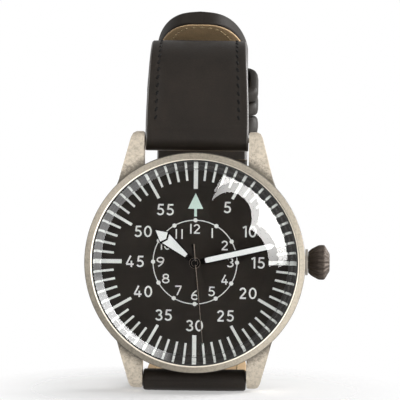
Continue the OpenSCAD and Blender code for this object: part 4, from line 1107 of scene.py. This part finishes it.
# Floor: white under the watch, fading into the white background around it
def makeFloor():
    z, half = studio["floor"], studio["floorHalf"]
    corners = [(-half, -half, z), (half, -half, z), (half, half, z), (-half, half, z)]
    tree = stageSheet("floor", corners, (True, False), 0.9)
    clearWhere(tree, span(tree, vectorMaths(tree, "LENGTH", coordinates(tree)), *studio["fade"]))


# Softbox: a glowing sheet 1 m in front, brightest in its middle, with two dark cards before it
def makeSoftbox():
    outline = [(40, 181), (85, 266), (118, 330), (400, 330), (400, -40), (348, -60), (264, -93)]
    corners = [(x * mm, studio["boxFront"], z * mm) for x, z in outline]
    tree = stageSheet("softbox", corners, (False, True), 0.0, 0.5)
    away = vectorMaths(tree, "DISTANCE", coordinates(tree), studio["boxMiddle"])
    glowing = span(tree, away, *studio["boxFall"], *studio["boxLevels"])
    feedAll(tree, tree.nodes["Principled BSDF"], {"Emission Color": (1, 0.99, 0.97),
                                                  "Emission Strength": glowing})
    for name, card in {"cardRound": (110, 110, 90, 100), "cardBroad": (134, -72, 137, 150)}.items():
        corners = [(x * mm, studio["cardFront"], z * mm) for x, z in bow(*card, 0, 352.5, 48)]
        stageSheet(name, corners, (False, True), 0.01)


def aimLamp(data, at, target, power, shown):
    data.energy = power
    lamp = addObject(data.name, data)
    lamp.location = at
    lamp.rotation_mode = "QUATERNION"
    lamp.rotation_quaternion = (Vector(target) - Vector(at)).to_track_quat("-Z", "Y")
    lamp.visible_camera, lamp.visible_glossy, lamp.visible_transmission = False, shown, shown


def makeLamps():
    panels = [("rightPanel", (0.85, -0.28, 0.06), (0, 0, 0), (0.45, 0.3), 3.0, True),
              ("rimPanel", (0.62, 0.2, 0.22), (0, 0.02, 0), (0.25, 0.5), 6.0, True),
              ("topPanel", (0.42, -0.3, 0.8), (0, 0.02, 0), (0.35, 0.35), 2.0, True),
              ("frontPanel", (-0.25, -1.0, 0.35), (0, 0, 0), (0.6, 0.6), 2.3, False)]
    for name, at, target, size, power, shown in panels:
        data = bpy.data.lights.new(name, "AREA")
        data.shape = "RECTANGLE"
        data.size, data.size_y = size
        aimLamp(data, at, target, power, shown)
    data = bpy.data.lights.new("tailSpot", "SPOT")  # a narrow lamp that reaches in under the tail
    data.spot_size, data.spot_blend = math.radians(3.0), 0.6
    data.shadow_soft_size = 0.04
    aimLamp(data, (-0.06, -1.0, 0.07), (0, 0.03, 0.056), 25.0, False)


# What surfaces reflect: grey zones by how far a direction points to the front, as (place, level), and
# glows as (direction, cosine at the rim, strength), those of smooth glass apart from those of metal
reflected = {"zones": [(0.0, 0.85), (0.62, 0.75), (0.68, 0.4), (0.75, 0.4), (0.8, 0.6), (0.935, 0.6),
                       (0.955, 0.05), (1.0, 0.03)],
             "glassShare": 0.55, "core": 0.985,
             "glassGlows": [((-0.62, -0.5, -0.6), 0.88, 15.0), ((-0.85, -0.5, -0.1), 0.88, 2.6),
                            ((-0.72, -0.6, 0.42), 0.8, 2.6)],
             "glows": [((-0.72, -0.6, 0.42), 0.8, 3.4), ((0.72, -0.6, -0.42), 0.75, 4.0)]}


def glow(tree, towards, direction, rim, level):
    near = vectorMaths(tree, "DOT_PRODUCT", towards, tuple(Vector(direction).normalized()))
    return span(tree, near, rim, reflected["core"], 0.0, level)


# World: plain white to the camera and straight through glass, an even fill to matt surfaces, and the
# zones and glows to reflections
def makeWorld():
    world = bpy.data.worlds.new("studio")
    world.use_nodes = True
    bpy.context.scene.world = world
    tree = world.node_tree
    path = addNode(tree, "LightPath", {})
    towards = coordinates(tree, "Generated")
    part = addNode(tree, "SeparateXYZ", {0: towards})
    front = maths(tree, "MULTIPLY", part["Y"], -1.0)
    zones = [(at, (level,) * 3) for at, level in reflected["zones"]]
    rough = smooth = ramp(tree, span(tree, front, -1.0, 1.0), zones)
    for spot in reflected["glows"]:
        rough = maths(tree, "ADD", rough, glow(tree, towards, *spot))
    for spot in reflected["glassGlows"]:  # only the band that the glass's slope mirrors from in front
        light = maths(tree, "MULTIPLY", glow(tree, towards, *spot), span(tree, front, 0.42, 0.48))
        light = maths(tree, "MULTIPLY", light, span(tree, front, 0.66, 0.72, 1.0, 0.0))
        smooth = maths(tree, "ADD", smooth, light)
    smooth = maths(tree, "MULTIPLY", smooth, reflected["glassShare"])
    glossy = mixValue(tree, path["Is Singular Ray"], rough, smooth)
    camera, shiny, through = (path[f"Is {kind} Ray"] for kind in ("Camera", "Glossy", "Transmission"))
    bounced = maths(tree, "ADD", path["Diffuse Depth"], path["Glossy Depth"])
    straight = maths(tree, "MULTIPLY", through, maths(tree, "LESS_THAN", bounced, 0.5))
    inGlass = maths(tree, "MULTIPLY", through, maths(tree, "GREATER_THAN", path["Glossy Depth"], 0.5))
    fill = span(tree, part["Z"], 0.1, -0.3, *studio["fill"])  # the white table lights from below
    lit = mixValue(tree, maths(tree, "MAXIMUM", shiny, inGlass), fill, glossy)
    seen = mixValue(tree, maths(tree, "MAXIMUM", camera, straight), lit, 1.0)
    feedAll(tree, tree.nodes["Background"], {"Color": (1, 1, 1), "Strength": seen})


makeCamera()
makeFloor()
makeSoftbox()
makeLamps()
makeWorld()
bpy.context.scene.view_settings.view_transform = "Standard"
print("studio done")
